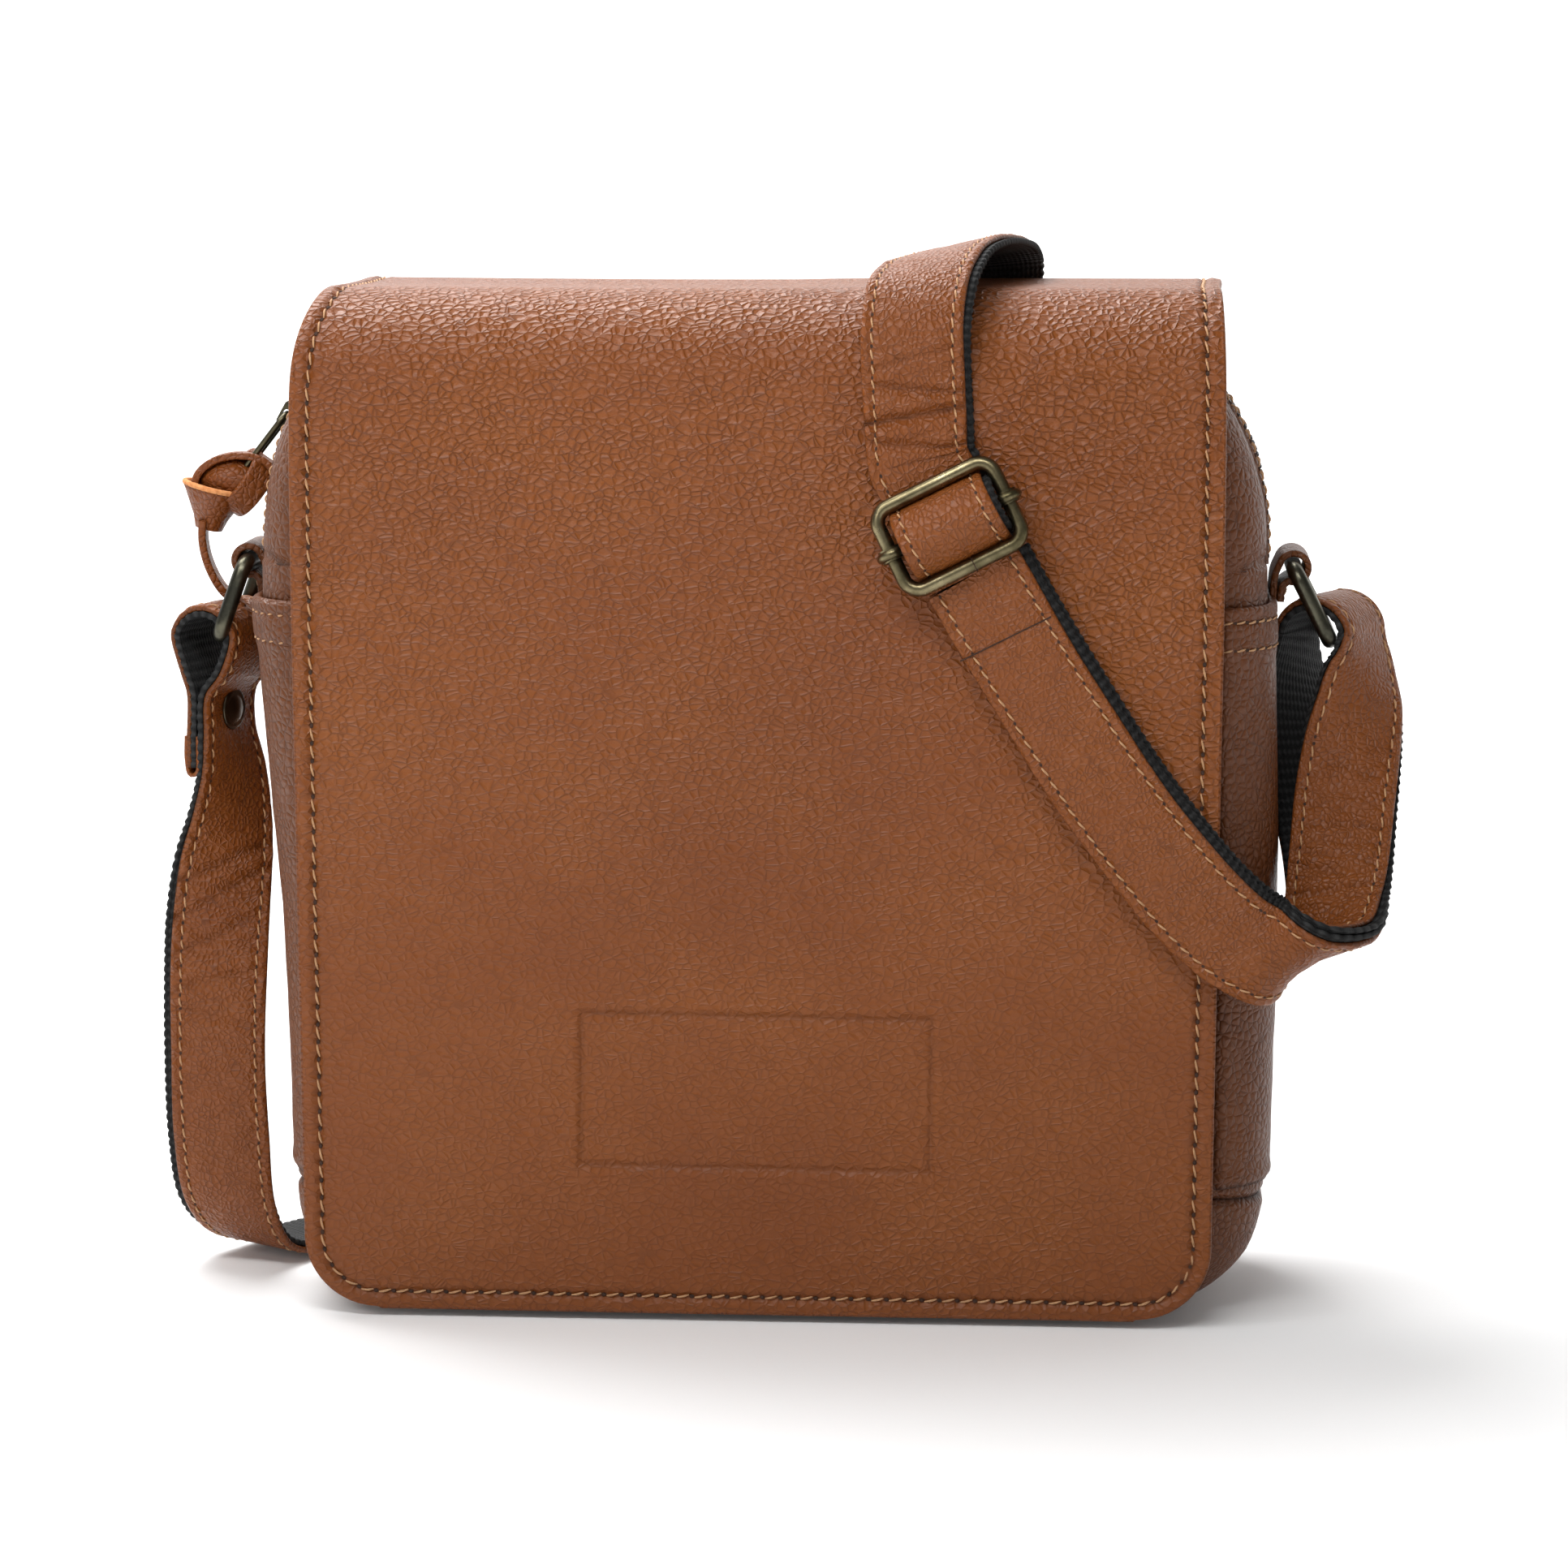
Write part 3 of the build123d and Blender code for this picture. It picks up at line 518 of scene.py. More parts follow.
def on_circle(centre, radius, angles):
    turns = np.radians(list(angles))
    return list(zip(centre[0] + radius * np.cos(turns), centre[1] + radius * np.sin(turns)))


def hermite(knots, values, at):
    """Cubic through values at uneven knots."""
    slopes = np.gradient(values, knots, axis=0)
    i = np.clip(np.searchsorted(knots, at, side="right") - 1, 0, len(knots) - 2)
    gap = (knots[i + 1] - knots[i])[:, None]
    s = ((at - knots[i]) / gap[:, 0])[:, None]
    return (
        (2 * s**3 - 3 * s**2 + 1) * values[i]
        + (s**3 - 2 * s**2 + s) * gap * slopes[i]
        + (3 * s**2 - 2 * s**3) * values[i + 1]
        + (s**3 - s**2) * gap * slopes[i + 1]
    )


def knots_of(points):
    """Knots for a cubic that stays calm where points lie unevenly."""
    return np.concatenate(([0], np.cumsum(np.linalg.norm(np.diff(points, axis=0), axis=1) ** 0.5)))


def curve(points, count):
    """Smooth curve through given points, evenly sampled."""
    points = np.asarray(points, float)
    knots = knots_of(points)
    dense = hermite(knots, points, np.linspace(0, knots[-1], count * 6))
    run = lengths(dense)
    return sampled(np.linspace(0, run[-1], count), run, dense)


def rounded_strip(half, thick, columns=9, corner=0.6):
    """Closed cross-section of a flat leather strip with eased edges: (across, up) pairs."""
    corner = min(corner, thick * 0.45)
    ease = np.linspace(0, math.pi / 2, 4)
    bend = [(corner * math.sin(a), corner * math.cos(a)) for a in ease]
    in_x, high = half - corner, thick - corner
    top = [(x, thick) for x in np.linspace(-in_x, in_x, columns)]
    right = [(in_x + s, high + c) for s, c in bend[1:]]
    low_right = [(in_x + c, corner - s) for s, c in bend]
    bottom = [(x, 0.0) for x in np.linspace(in_x, -in_x, 5)[1:-1]]
    low_left = [(-in_x - s, corner - c) for s, c in bend]
    left = [(-in_x - c, high + s) for s, c in bend[:-1]]
    return np.array(top + right + low_right + bottom + low_left + left)


def sweep_strip(form, centres, across, section):
    """Sweeps a cross-section of (across, up) pairs; up is square to the path and across."""
    centres = np.asarray(centres, float)
    along = unit(np.gradient(centres, axis=0))
    across = np.broadcast_to(across, centres.shape)
    across = unit(across - along * np.sum(across * along, -1, keepdims=True))
    ups = np.cross(along, across)
    sides, heights = section[None, :, 0, None], section[None, :, 1, None]
    rings = centres[:, None] + across[:, None] * sides + ups[:, None] * heights
    places = np.stack(np.broadcast_arrays(section[None, :, 0], lengths(centres)[:, None]), -1)
    form.loft(rings, places)


# ---------------------------------------------------------------- stitching

STITCH_SHARE = 0.66
HOLE_LONG = 0.62
HOLE_WIDE = 0.5


def sew(name, rows, link, pitch=3.6, slant=0.25, size=0.28):
    """Thread over the leather, and dark discs in the needle holes between the stitches: painted shadow.

    Each row is (points, ups), sampled closely and evenly; an up points off the leather.
    link is called with each piece, to say what it rides.
    """
    thread = Form()
    holes = Form()
    for points, ups in rows:
        points = np.asarray(points, float)
        run = lengths(points)
        count = max(int(run[-1] // pitch), 1)
        real = run[-1] / count
        ups = unit(ups)
        share = np.linspace(0, 1, 6)
        bow = np.sin(math.pi * share)
        for i in range(count):
            distances = (i + (1 - STITCH_SHARE) / 2 + share * STITCH_SHARE) * real
            middle = sampled(distances, run, points)
            up = unit(sampled(distances, run, ups))
            side = np.cross(up, unit(middle[-1] - middle[0]))
            lean = (share - 0.5) * 2 * slant + 0.06 * math.sin(i * 2.4)
            path = middle + up * (0.5 * bow - 0.2)[:, None] + side * lean[:, None]
            thread.tube(path, size * (0.62 + 0.38 * bow), sides=6)
        # A dark disc in each needle hole: painted shadow.
        for i in range(count + 1):
            distance = min(max(i * real, 0.01), run[-1] - 0.01)
            before, centre, after = sampled([distance - 0.01, distance, distance + 0.01], run, points)
            up = unit(sampled([distance], run, ups))[0]
            way = unit(after - before)
            rim = ellipse(8, way * HOLE_LONG, np.cross(up, way) * HOLE_WIDE)
            holes.loft([centre + rim - up * 0.15, centre + rim * 0.7 + up * 0.07])
    link(thread.make(name + "_stitches", "thread"))
    link(holes.make(name + "_hole_shades", "painted_shade"))


def riding(body):
    return lambda piece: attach(piece, body)


def bending(start, end):
    """Bakes each piece's transform into its mesh. start and end, points in millimetres, are not used."""
    start, end = (tuple(coordinate * MM for coordinate in point) for point in (start, end))
    return lambda piece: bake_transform(piece)


# ---------------------------------------------------------------- body

BODY_WIDTH = 250.0
BODY_DEPTH = 80.0
BODY_HEIGHT = 246.0
SHOULDER = 50.0
SHOULDER_Z = BODY_HEIGHT - SHOULDER
FOOT = 34.0
ROUNDING = 18.0
FLAT_HALF = BODY_DEPTH / 2 - ROUNDING
SEAM_HALF = 22.0
GUSSET_HALF = 39.8
BASE_SEAM_Z = 30.0
ZIP_END_Z = 188.0
TUCK = 4.5
TUCK_DEPTH = 0.7
TAPE_EDGE = 12.0
POCKET_TOP = 178.0
POCKET_HALF = 39.4
POCKET_LOW = 34.0
POCKET_OUT = 1.9
SEAM_DEPTH = 1.1
SEAM_WIDTH = 1.1
SEAM_SHADE = 0.75
PUFF_GAP, PUFF_WIDTH, PUFF_HEIGHT = 3, 1.5, 0.25
HEM_ROWS = (2.6, 9.4)
HEM_DEPTHS = (0.55, 0.5)
HEM_ROW_WIDTH = 0.6
HEM_END = 10.5
HEM_THICK = 0.7
HEM_FOLD = 1.2
LINING_OUT = -4.2

HALF = BODY_WIDTH / 2
BODY_OUTLINE = [
    line((0, 0), (1, 0), HALF - FOOT),
    arc((HALF - FOOT, FOOT), FOOT, -90),
    line((HALF, FOOT), (0, 1), SHOULDER_Z - FOOT),
    arc((HALF - SHOULDER, SHOULDER_Z), SHOULDER, 0),
    line((HALF - SHOULDER, BODY_HEIGHT), (-1, 0), HALF - SHOULDER),
]
HALF_LOOP = total(BODY_OUTLINE)

# How far each side swells beyond the plain outline, by height.
RIGHT_SWELL = (
    (0, 1.0), (16, 2.2), (27, 1.2), (38, 0.3), (59, 1.1), (80, 1.3), (120, 1.2), (150, 0.6),
    (175, -0.3), (195, -0.6), (211, -0.8), (221, 0.0), (231, 1.2), (246, 0.0),
)
LEFT_SWELL = (
    (0, -1.0), (16, -3.5), (28, -6.0), (36, -7.0), (52, -7.0), (77, -6.5), (101, -5.5),
    (112, -4.5), (125, -3.0), (149, -1.5), (162, -0.4), (174, 0.6), (188, 0.4), (200, -0.4),
    (212, 0.0), (220, 1.2), (230, 2.2), (246, 0.0),
)


def height_run(z):
    """Distance along the outline to a height on its foot or its upright side."""
    low = HALF - FOOT
    if z < FOOT:
        return low + FOOT * math.acos((FOOT - z) / FOOT)
    return low + FOOT * math.pi / 2 + (z - FOOT)


def swell(side, x, y, z):
    """Outward slouch of the soft body."""
    by_height = np.interp(z, *zip(*(RIGHT_SWELL if side > 0 else LEFT_SWELL)))
    seam = np.clip(np.abs(y) / SEAM_HALF, 0, 1) ** 2
    return by_height * ramp(np.abs(x), 60, 100) * (1 - ramp(z, 205, 215) * (1 - seam))


def shell(side, run, wide, out=0.0):
    """Point on the body's skin. run follows the outline up from the middle of its base,
    wide follows the skin from the middle of its depth, and out is a height over it."""
    run, wide, out = np.broadcast_arrays(run, wide, out)
    flat, normal = trace(BODY_OUTLINE, run)
    turn = np.clip((np.abs(wide) - FLAT_HALF) / ROUNDING, 0, math.pi / 2)
    radius = ROUNDING + out
    y = np.sign(wide) * (np.minimum(np.abs(wide), FLAT_HALF) + radius * np.sin(turn))
    slouch = swell(side, flat[..., 0], y, flat[..., 1]) * np.cos(turn)
    reach = radius * np.cos(turn) - ROUNDING + slouch
    x = side * (flat[..., 0] + normal[..., 0] * reach)
    z = flat[..., 1] + normal[..., 1] * reach
    return np.stack([x, y, np.maximum(z, 0.15 if out.max() >= 0 else -out.max())], -1)


def wide_at(y):
    """Distance over the skin from the middle of its depth to a y."""
    return FLAT_HALF + ROUNDING * math.asin((y - FLAT_HALF) / ROUNDING)


GUSSET_EDGE = wide_at(GUSSET_HALF)
POCKET_EDGE = wide_at(POCKET_HALF)


def skin_panel(form, side, runs, wides, out, dips, relief, seed, hem=None):
    """A leather panel's outer face on the body, with sunk seams that carry painted shade.

    dips is (start run, end run, start wide, end wide), each a place that's sewn down, or None.
    """
    run, wide = np.meshgrid(runs, wides, indexing="ij")
    base = shell(side, run, wide, out)
    height = relief * noise_at(base, 26.0, seed) + relief * 0.25 * noise_at(base, 8.0, seed + 1)
    shade_and_edge = np.zeros_like(run)
    for place, grid in zip(dips, (run, run, wide, wide)):
        if place is not None:
            gap = np.abs(grid - place)
            puff = PUFF_HEIGHT * bell(gap - PUFF_GAP, PUFF_WIDTH)
            height = height - SEAM_DEPTH * bell(gap, SEAM_WIDTH) + puff
            # Painted shade along the sunk seam.
            shade_and_edge = np.maximum(shade_and_edge, SEAM_SHADE * bell(gap, 0.9))
    if hem is not None:
        height = height + hem(run)
    points = shell(side, run, wide, out + height)
    form.grid(points, np.stack([wide, run], -1), shade_and_edge)
    return points


def make_gussets():
    low, high, top = (height_run(z) for z in (BASE_SEAM_Z, ZIP_END_Z, ZIP_END_Z + TUCK))

    def tuck(run):
        """The gusset's top end lies under the panels and the zip strips."""
        return -TUCK_DEPTH * ramp(run, high - 0.5, high + 0.5)

    for side, name, seed in ((1, "right", 3), (-1, "left", 7)):
        form = Form()
        runs = steps(low, top, 2.2, 0.7, (low, high, top), 4)
        wides = steps(-GUSSET_EDGE, GUSSET_EDGE, 2.2, 0.7, (-GUSSET_EDGE, GUSSET_EDGE), 4)
        dips = (low, None, -GUSSET_EDGE, GUSSET_EDGE)
        skin_panel(form, side, runs, wides, 0.0, dips, 0.4, seed, tuck)
        form.make_riding("side_gusset_" + name, "body_leather", "bag")


def make_pockets():
    low, high = height_run(POCKET_LOW), height_run(POCKET_TOP)

    def hem(run):
        """The turned top of the pocket stands thicker, with two sewn rows."""
        gap = high - run
        height = HEM_THICK / (1 + np.exp((gap - HEM_END) * 1.8))
        for row, depth in zip(HEM_ROWS, HEM_DEPTHS):
            height = height - depth * bell(gap - row, HEM_ROW_WIDTH)
        return height

    for side, name, seed in ((1, "right", 13), (-1, "left", 17)):
        form = Form()
        runs = steps(low, high, 2.0, 0.55, (low, high - 5), 7)
        wides = steps(-POCKET_EDGE, POCKET_EDGE, 2.0, 0.8, (-POCKET_EDGE, POCKET_EDGE), 3)
        dips = (low, None, -POCKET_EDGE, POCKET_EDGE)
        turned = [skin_panel(form, side, runs, wides, POCKET_OUT, dips, 0.5, seed, hem)[-1]]
        for angle in np.linspace(0, math.pi, 7)[1:]:
            out = POCKET_OUT + HEM_THICK + HEM_FOLD * (math.cos(angle) - 1)
            turned.append(shell(side, high + 1.1 * math.sin(angle), wides, out))
        turned.append(shell(side, high - 9, wides, 0.45))
        columns = np.stack([wides, np.full(len(wides), high)], -1)
        form.grid(np.array(turned), np.broadcast_to(columns, (len(turned),) + columns.shape))
        form.make_riding("side_pocket_" + name, "body_leather", "bag")
        rows = []
        for gap in HEM_ROWS:
            row_wides = np.linspace(-POCKET_EDGE + 1, POCKET_EDGE - 1, 160)
            points, above = (shell(side, high - gap, row_wides, out) for out in (2.15, 3.15))
            rows.append((points, above - points))
        sew("pocket_" + name, rows, riding("bag"), size=0.3)


def make_base():
    form = Form()
    high = height_run(BASE_SEAM_Z)
    wides = steps(-GUSSET_EDGE, GUSSET_EDGE, 3.0, 0.8, (-GUSSET_EDGE, GUSSET_EDGE), 4)
    for side in (1, -1):
        runs = steps(0, high, 3.0, 0.8, (high,), 4)
        skin_panel(form, side, runs, wides, 0.0, (None, high, -GUSSET_EDGE, GUSSET_EDGE), 0.15, 23)
    form.make_riding("base_panel", "body_leather", "bag")


def over_top(runs, wide, out):
    """Points from the right end of the zip over the top to its left end."""
    right, left = (shell(side, runs, wide, out) for side in (1, -1))
    return np.concatenate([right, left[::-1][1:]])


def make_zip_strips():
    """Leather strips beside the zip, from one end of it over the top to the other."""
    start = height_run(ZIP_END_Z)
    for face, name in ((-1, "front"), (1, "rear")):
        form = Form()
        wides = face * steps(TAPE_EDGE, SEAM_HALF, 1.2, 0.5, (TAPE_EDGE, SEAM_HALF), 2.5)
        for side in (1, -1):
            runs = steps(start, HALF_LOOP, 2.0, 0.8, (start,), 3)
            edges = (None, None, face * TAPE_EDGE, face * SEAM_HALF)
            skin_panel(form, side, runs, wides, 0.35, edges, 0.12, 31)
        long_runs = np.linspace(start + 2, HALF_LOOP, 150)
        rows = []
        for gap in (TAPE_EDGE + 2.0, SEAM_HALF - 2.2):
            points = over_top(long_runs, face * gap, 0.6)
            rows.append((points, over_top(long_runs, face * gap, 1.6) - points))
        form.make_riding("zip_strip_" + name, "body_leather", "bag")
        sew("zip_strip_" + name, rows, riding("bag"))


def face_panel(form, face, out, first_wide, relief, seed):
    """The big front or back of a shell: rings from its seam in to the middle of the face."""
    foot_run = height_run(FOOT)
    half_runs = np.concatenate([steps(0, foot_run, 4.0), steps(foot_run, HALF_LOOP, 3.2)[1:]])
    edge = FLAT_HALF + ROUNDING * math.pi / 2
    seam = first_wide(half_runs)
    sewn = np.clip(np.abs(trace(BODY_OUTLINE, half_runs)[0][:, 1] - ZIP_END_Z) / 8, 0, 1)
    rings = []
    for share in np.linspace(0, 1, 12):
        inward = share * (edge - seam)
        dip = -SEAM_DEPTH * sewn * bell(inward, 1.3)
        right, left = (shell(side, half_runs, face * (seam + inward), out + dip) for side in (1, -1))
        rings.append(np.concatenate([right, left[::-1][1:-1]]))
    rim = rings[-1]
    middle = np.array([0, rim[:, 1].mean(), BODY_HEIGHT / 2])
    for share in np.linspace(0, 1, 30)[1:]:
        ring = rim + (middle - rim) * min(share, 0.985)
        puff = 1.0 - (1 - share) ** 2
        ring[:, 1] += face * (puff + relief * noise_at(ring, 34.0, seed) * min(share * 4, 1))
        rings.append(ring)
    rings = np.array(rings)
    places = rings[..., (0, 2)]
    shades_and_edges = np.zeros(rings.shape[:2])
    # Painted shade along the seam at the panel's edge.
    shades_and_edges[0] = 0.8
    shades_and_edges[1] = 0.25
    form.grid(rings, places, shades_and_edges, wrap=True)
    form.add(rings[-1], [tuple(range(rings.shape[1]))], places[-1])


def seam_wide(runs):
    """The panel's seam: near the face beside the gussets, further back beside the zip."""
    share = ramp(trace(BODY_OUTLINE, runs)[0][..., 1], ZIP_END_Z - 3, ZIP_END_Z + 3)
    return GUSSET_EDGE * (1 - share) + SEAM_HALF * share


def make_faces():
    for face, name, seed in ((-1, "front_panel", 41), (1, "back_panel", 43)):
        form = Form()
        face_panel(form, face, 0.0, seam_wide, 0.5, seed)
        form.make_riding(name, "body_leather", "bag")


def make_lining():
    """Fabric bag inside the leather, open along the zip."""
    form = Form()
    wides = steps(-FLAT_HALF, FLAT_HALF, 4.0)
    runs = steps(0, HALF_LOOP, 4.0)
    top = trace(BODY_OUTLINE, runs)[0][:, 1] > ZIP_END_Z

    def keep(i, j):
        return not (top[i] and abs(wides[j] + 2) < TAPE_EDGE + 2)

    for side in (1, -1):
        points = shell(side, runs[:, None], wides, LINING_OUT)
        points = points + 0.5 * noise_at(points, 30.0, 51)[..., None] * (0.3, 1, 0.3)
        form.grid(points, keep=keep)
    for face in (-1, 1):
        face_panel(form, face, LINING_OUT, lambda runs: np.full(np.shape(runs), FLAT_HALF), 0.3, 53)
    form.make_riding("lining", "bag_lining", "bag")


# The gap between the tapes: its half width on the flat top and at the zip's ends.
SLOT_HALF = 9.0
SLOT_FLAT_X = 64.0
SLOT_END_X = 118.0
SLOT_END_HALF = 1.3
TAPE_CLEAR = 0.6
TAPE_TOP, TAPE_UNDER = -0.7, -1.5
COIL = 2.6
COIL_PITCH = 1.5
COIL_WIRE = 0.3
STOP_HEIGHT = 199.6


def slot_half(runs):
    x = trace(BODY_OUTLINE, runs)[0][:, 0]
    return np.interp(np.abs(x), (SLOT_FLAT_X, SLOT_END_X), (SLOT_HALF, SLOT_END_HALF))


def make_zip():
    """Tapes with the two coils along their inner edges."""
    start = height_run(ZIP_END_Z)
    runs = steps(start, HALF_LOOP, 2.0)
    inner = slot_half(runs)[:, None] + TAPE_CLEAR
    turns = np.arange(start, HALF_LOOP, COIL_PITCH / 8)
    phase = (turns - start) / COIL_PITCH * 2 * math.pi
    coil_wide = slot_half(turns) + COIL / 2 + COIL / 2 * np.cos(phase)
    for face, name in ((-1, "front"), (1, "rear")):
        tape = Form()
        coil = Form()
        wide = face * (inner + np.linspace(0, 1, 7) * (TAPE_EDGE + TAPE_CLEAR - inner))
        for side in (1, -1):
            points = shell(side, runs[:, None], wide, TAPE_TOP)
            tape.grid(points, points[..., (0, 1)])
            tape.grid(shell(side, runs[:, None], wide, TAPE_UNDER), points[..., (0, 1)])
            turned = shell(side, turns, face * coil_wide, 0.1 + 0.75 * np.sin(phase))
            coil.tube(turned, COIL_WIRE, sides=5)
        tape.make_riding("zip_tape_" + name, "zip_tape", "bag")
        coil.make_riding("zip_coil_" + name, "zip_coil", "bag")


def make_zip_stops():
    """Metal stops crimped over the coils at the two ends of the zip."""
    middle = height_run(SHOULDER_Z) + SHOULDER * math.asin((STOP_HEIGHT - SHOULDER_Z) / SHOULDER)
    turns = full_turn(24)
    wide = 2.5 * np.sign(np.cos(turns)) * np.abs(np.cos(turns)) ** 0.5
    out = 0.2 + 0.8 * np.sign(np.sin(turns)) * np.abs(np.sin(turns)) ** 0.6
    form = Form()
    for side in (1, -1):
        rings = []
        for gap, size in ((-1.5, 0.75), (-1.3, 0.95), (-0.8, 1), (0.8, 1), (1.3, 0.95), (1.5, 0.75)):
            rings.append(shell(side, np.full(24, middle + gap), wide * size, out * size))
        form.loft(rings)
    form.make_riding("zip_stops", "zip_metal", "bag")


LUG_X = 131.6
LUG_Z = 186.0
LUG_HALF = 10.0


def make_lugs():
    """A strip of leather doubled round the ring and sewn down above the pocket."""
    route = [(127.5, 177.5), (127.5, 181.0), (127.9, 184.2)]
    route += on_circle((LUG_X, LUG_Z), 2.75, range(165, -131, -20))
    route += [(128.3, 181.9), (127.7, 179.6), (127.6, 177.5)]
    for side, name in ((1, "right"), (-1, "left")):
        path = np.array([(side * x, 0, z) for x, z in route])
        form = Form()
        sweep_strip(form, curve(path, 90), (0, side, 0), rounded_strip(LUG_HALF, 1.7, corner=0.5))
        form.make_riding("lug_" + name, "body_leather", "bag")
        rows = []
        for y in (-LUG_HALF + 2.4, LUG_HALF - 2.4):
            heights = np.linspace(178.2, 182.0, 8)
            points = np.array([(side * (129.4 + max(z - 180, 0) * 0.3), y, z) for z in heights])
            rows.append((points, np.broadcast_to((side, 0.0, 0.0), points.shape)))
        sew("lug_" + name, rows, riding("bag"), pitch=2.6)


# ---------------------------------------------------------------- flap

FLAP_HALF = 113.0
FLAP_FRONT = -47.0
FLAP_TOP = 256.0
FLAP_REAR = 43.0
FLAP_LOW = 2.5
FRONT_ROUND = 24.0
REAR_ROUND = 13.0
FLAP_CORNER = 18.0
ANCHOR_LOW = 210.0
STITCH_INSET = 3.9
STITCH_PITCH = 4.4
FLAP_THICK = 3.0
EDGE_IN = 1.2
EDGE_ROLL = 1.1
FLAP_HEM = 7
LINING_DROP = 2.7
EMBOSS_CENTRE = (-0.2, 58.3)
EMBOSS_HALF = (43.4, 19.2)
EMBOSS_TURN = math.radians(-0.4)

# From the edge sewn to the back, up, over the top and down the front, as (y, z).
FLAP_PROFILE = [
    line((FLAP_REAR, ANCHOR_LOW), (0, 1), FLAP_TOP - REAR_ROUND - ANCHOR_LOW),
    arc((FLAP_REAR - REAR_ROUND, FLAP_TOP - REAR_ROUND), REAR_ROUND, 0),
    line((FLAP_REAR - REAR_ROUND, FLAP_TOP), (-1, 0), FLAP_REAR - REAR_ROUND - FLAP_FRONT - FRONT_ROUND),
    arc((FLAP_FRONT + FRONT_ROUND, FLAP_TOP - FRONT_ROUND), FRONT_ROUND, 90),
    line((FLAP_FRONT, FLAP_TOP - FRONT_ROUND), (0, -1), FLAP_TOP - FRONT_ROUND - FLAP_LOW),
]
FLAP_RUN = total(FLAP_PROFILE)
TOP_RUN = total(FLAP_PROFILE[:2])
FRONT_RUN = total(FLAP_PROFILE[:4])

# The flap's pieces have their transforms baked into their meshes.
FLAP_LINK = bending((0, 43, 243), (0, 28, 243))


def flap_half(run, side):
    """Half width of the flap, by distance from its sewn-on edge."""
    corner = np.clip(FLAP_CORNER - FLAP_RUN + run, 0, FLAP_CORNER)
    cut = FLAP_CORNER - np.sqrt(FLAP_CORNER**2 - corner**2)
    half = FLAP_HALF - cut - ramp(run, FRONT_RUN + 60, FRONT_RUN + 230) * 1.2
    if side > 0:
        return half - 1.2 * bell(run - TOP_RUN - 50, 30)
    return half + 1.0 - 8.0 / (1 + np.exp((run - FRONT_RUN + 22) / 8))


def flap_point(run, x, lift):
    """Point on the flap at a distance along it, across it, and a height over it."""
    run, x, lift = np.broadcast_arrays(run, x, lift)
    flat, normal = trace(FLAP_PROFILE, run)
    flat = flat + normal * lift[..., None]
    return np.stack([x, flat[..., 0], flat[..., 1]], -1)


def flap_slouch(run, x):
    """Slow hollows of the leather, none where the strap lies on it."""
    place = np.stack(np.broadcast_arrays(x, run, np.zeros_like(run)), -1)
    front = ramp(run, FRONT_RUN - 25, FRONT_RUN + 5)
    strap_line = 40 + ramp(run, FRONT_RUN + 30, FRONT_RUN + 160) * 75
    clear = ramp(np.abs(x - strap_line), 22, 47)
    hollow = -0.7 + 0.7 * noise_at(place, 58.0, 61) + 0.28 * noise_at(place, 23.0, 62)
    top = -1.3 * bell(run - TOP_RUN - 24, 26) * bell(x + 25, 70)
    end = 1.0 - ramp(run, FLAP_RUN - 25, FLAP_RUN) * 0.7
    return hollow * front * clear * end + top * ramp(x, 30, 5)


def flap_emboss(run, x):
    """Height and groove of a blank rectangle pressed into the leather near the bottom."""
    z = FLAP_TOP - FRONT_ROUND - (run - FRONT_RUN)
    dx, dz = x - EMBOSS_CENTRE[0], z - EMBOSS_CENTRE[1]
    u = dx * math.cos(EMBOSS_TURN) + dz * math.sin(EMBOSS_TURN)
    v = -dx * math.sin(EMBOSS_TURN) + dz * math.cos(EMBOSS_TURN)
    over = np.maximum(np.abs(u) - EMBOSS_HALF[0], np.abs(v) - EMBOSS_HALF[1])
    groove = -0.55 * bell(over, 0.75)
    plate = -0.18 / (1 + np.exp(np.clip(over * 2.5, -30, 30)))
    return np.where(run > FRONT_RUN, groove + 0.16 * bell(over - 2.0, 1.1) + plate, 0.0), groove


def border_gap(run, x):
    """Distance in from the flap's edge along its sides and bottom."""
    side_gap = np.where(x > 0, flap_half(run, 1) - x, x + flap_half(run, -1))
    low_gap = FLAP_RUN - run
    corner_x = np.abs(x) - (FLAP_HALF - FLAP_CORNER)
    radial = FLAP_CORNER - np.sqrt(np.maximum(corner_x, 0) ** 2 + (FLAP_CORNER - low_gap) ** 2)
    in_corner = (low_gap < FLAP_CORNER) & (corner_x > 0)
    return np.where(in_corner, np.minimum(side_gap + 3, radial), np.minimum(side_gap, low_gap))


def edge_path(inset, count=1500):
    """The flap's sewn border as (run, x) pairs, inset from its edge: down the left side,
    along the bottom and up the right. Also its length."""
    left_runs = np.linspace(TOP_RUN - 12, FLAP_RUN - FLAP_CORNER, 600)
    left = [(run, -flap_half(run, -1) + inset) for run in left_runs]
    radius = FLAP_CORNER - inset
    centre_run = FLAP_RUN - FLAP_CORNER
    left_centre = -flap_half(centre_run, -1) + FLAP_CORNER
    right_centre = flap_half(centre_run, 1) - FLAP_CORNER
    turns = np.linspace(0, math.pi / 2, 60)
    low_left = [(centre_run + radius * math.sin(a), left_centre - radius * math.cos(a)) for a in turns[1:]]
    bottom = [(FLAP_RUN - inset, x) for x in np.linspace(left_centre, right_centre, 400)[1:-1]]
    low_right = [(centre_run + radius * math.cos(a), right_centre + radius * math.sin(a)) for a in turns]
    right = [(run, flap_half(run, 1) - inset) for run in left_runs[::-1][1:]]
    path = np.array(left + low_left + bottom + low_right + right)
    run = lengths(path)
    return sampled(np.linspace(0, run[-1], count), run, path), run[-1]


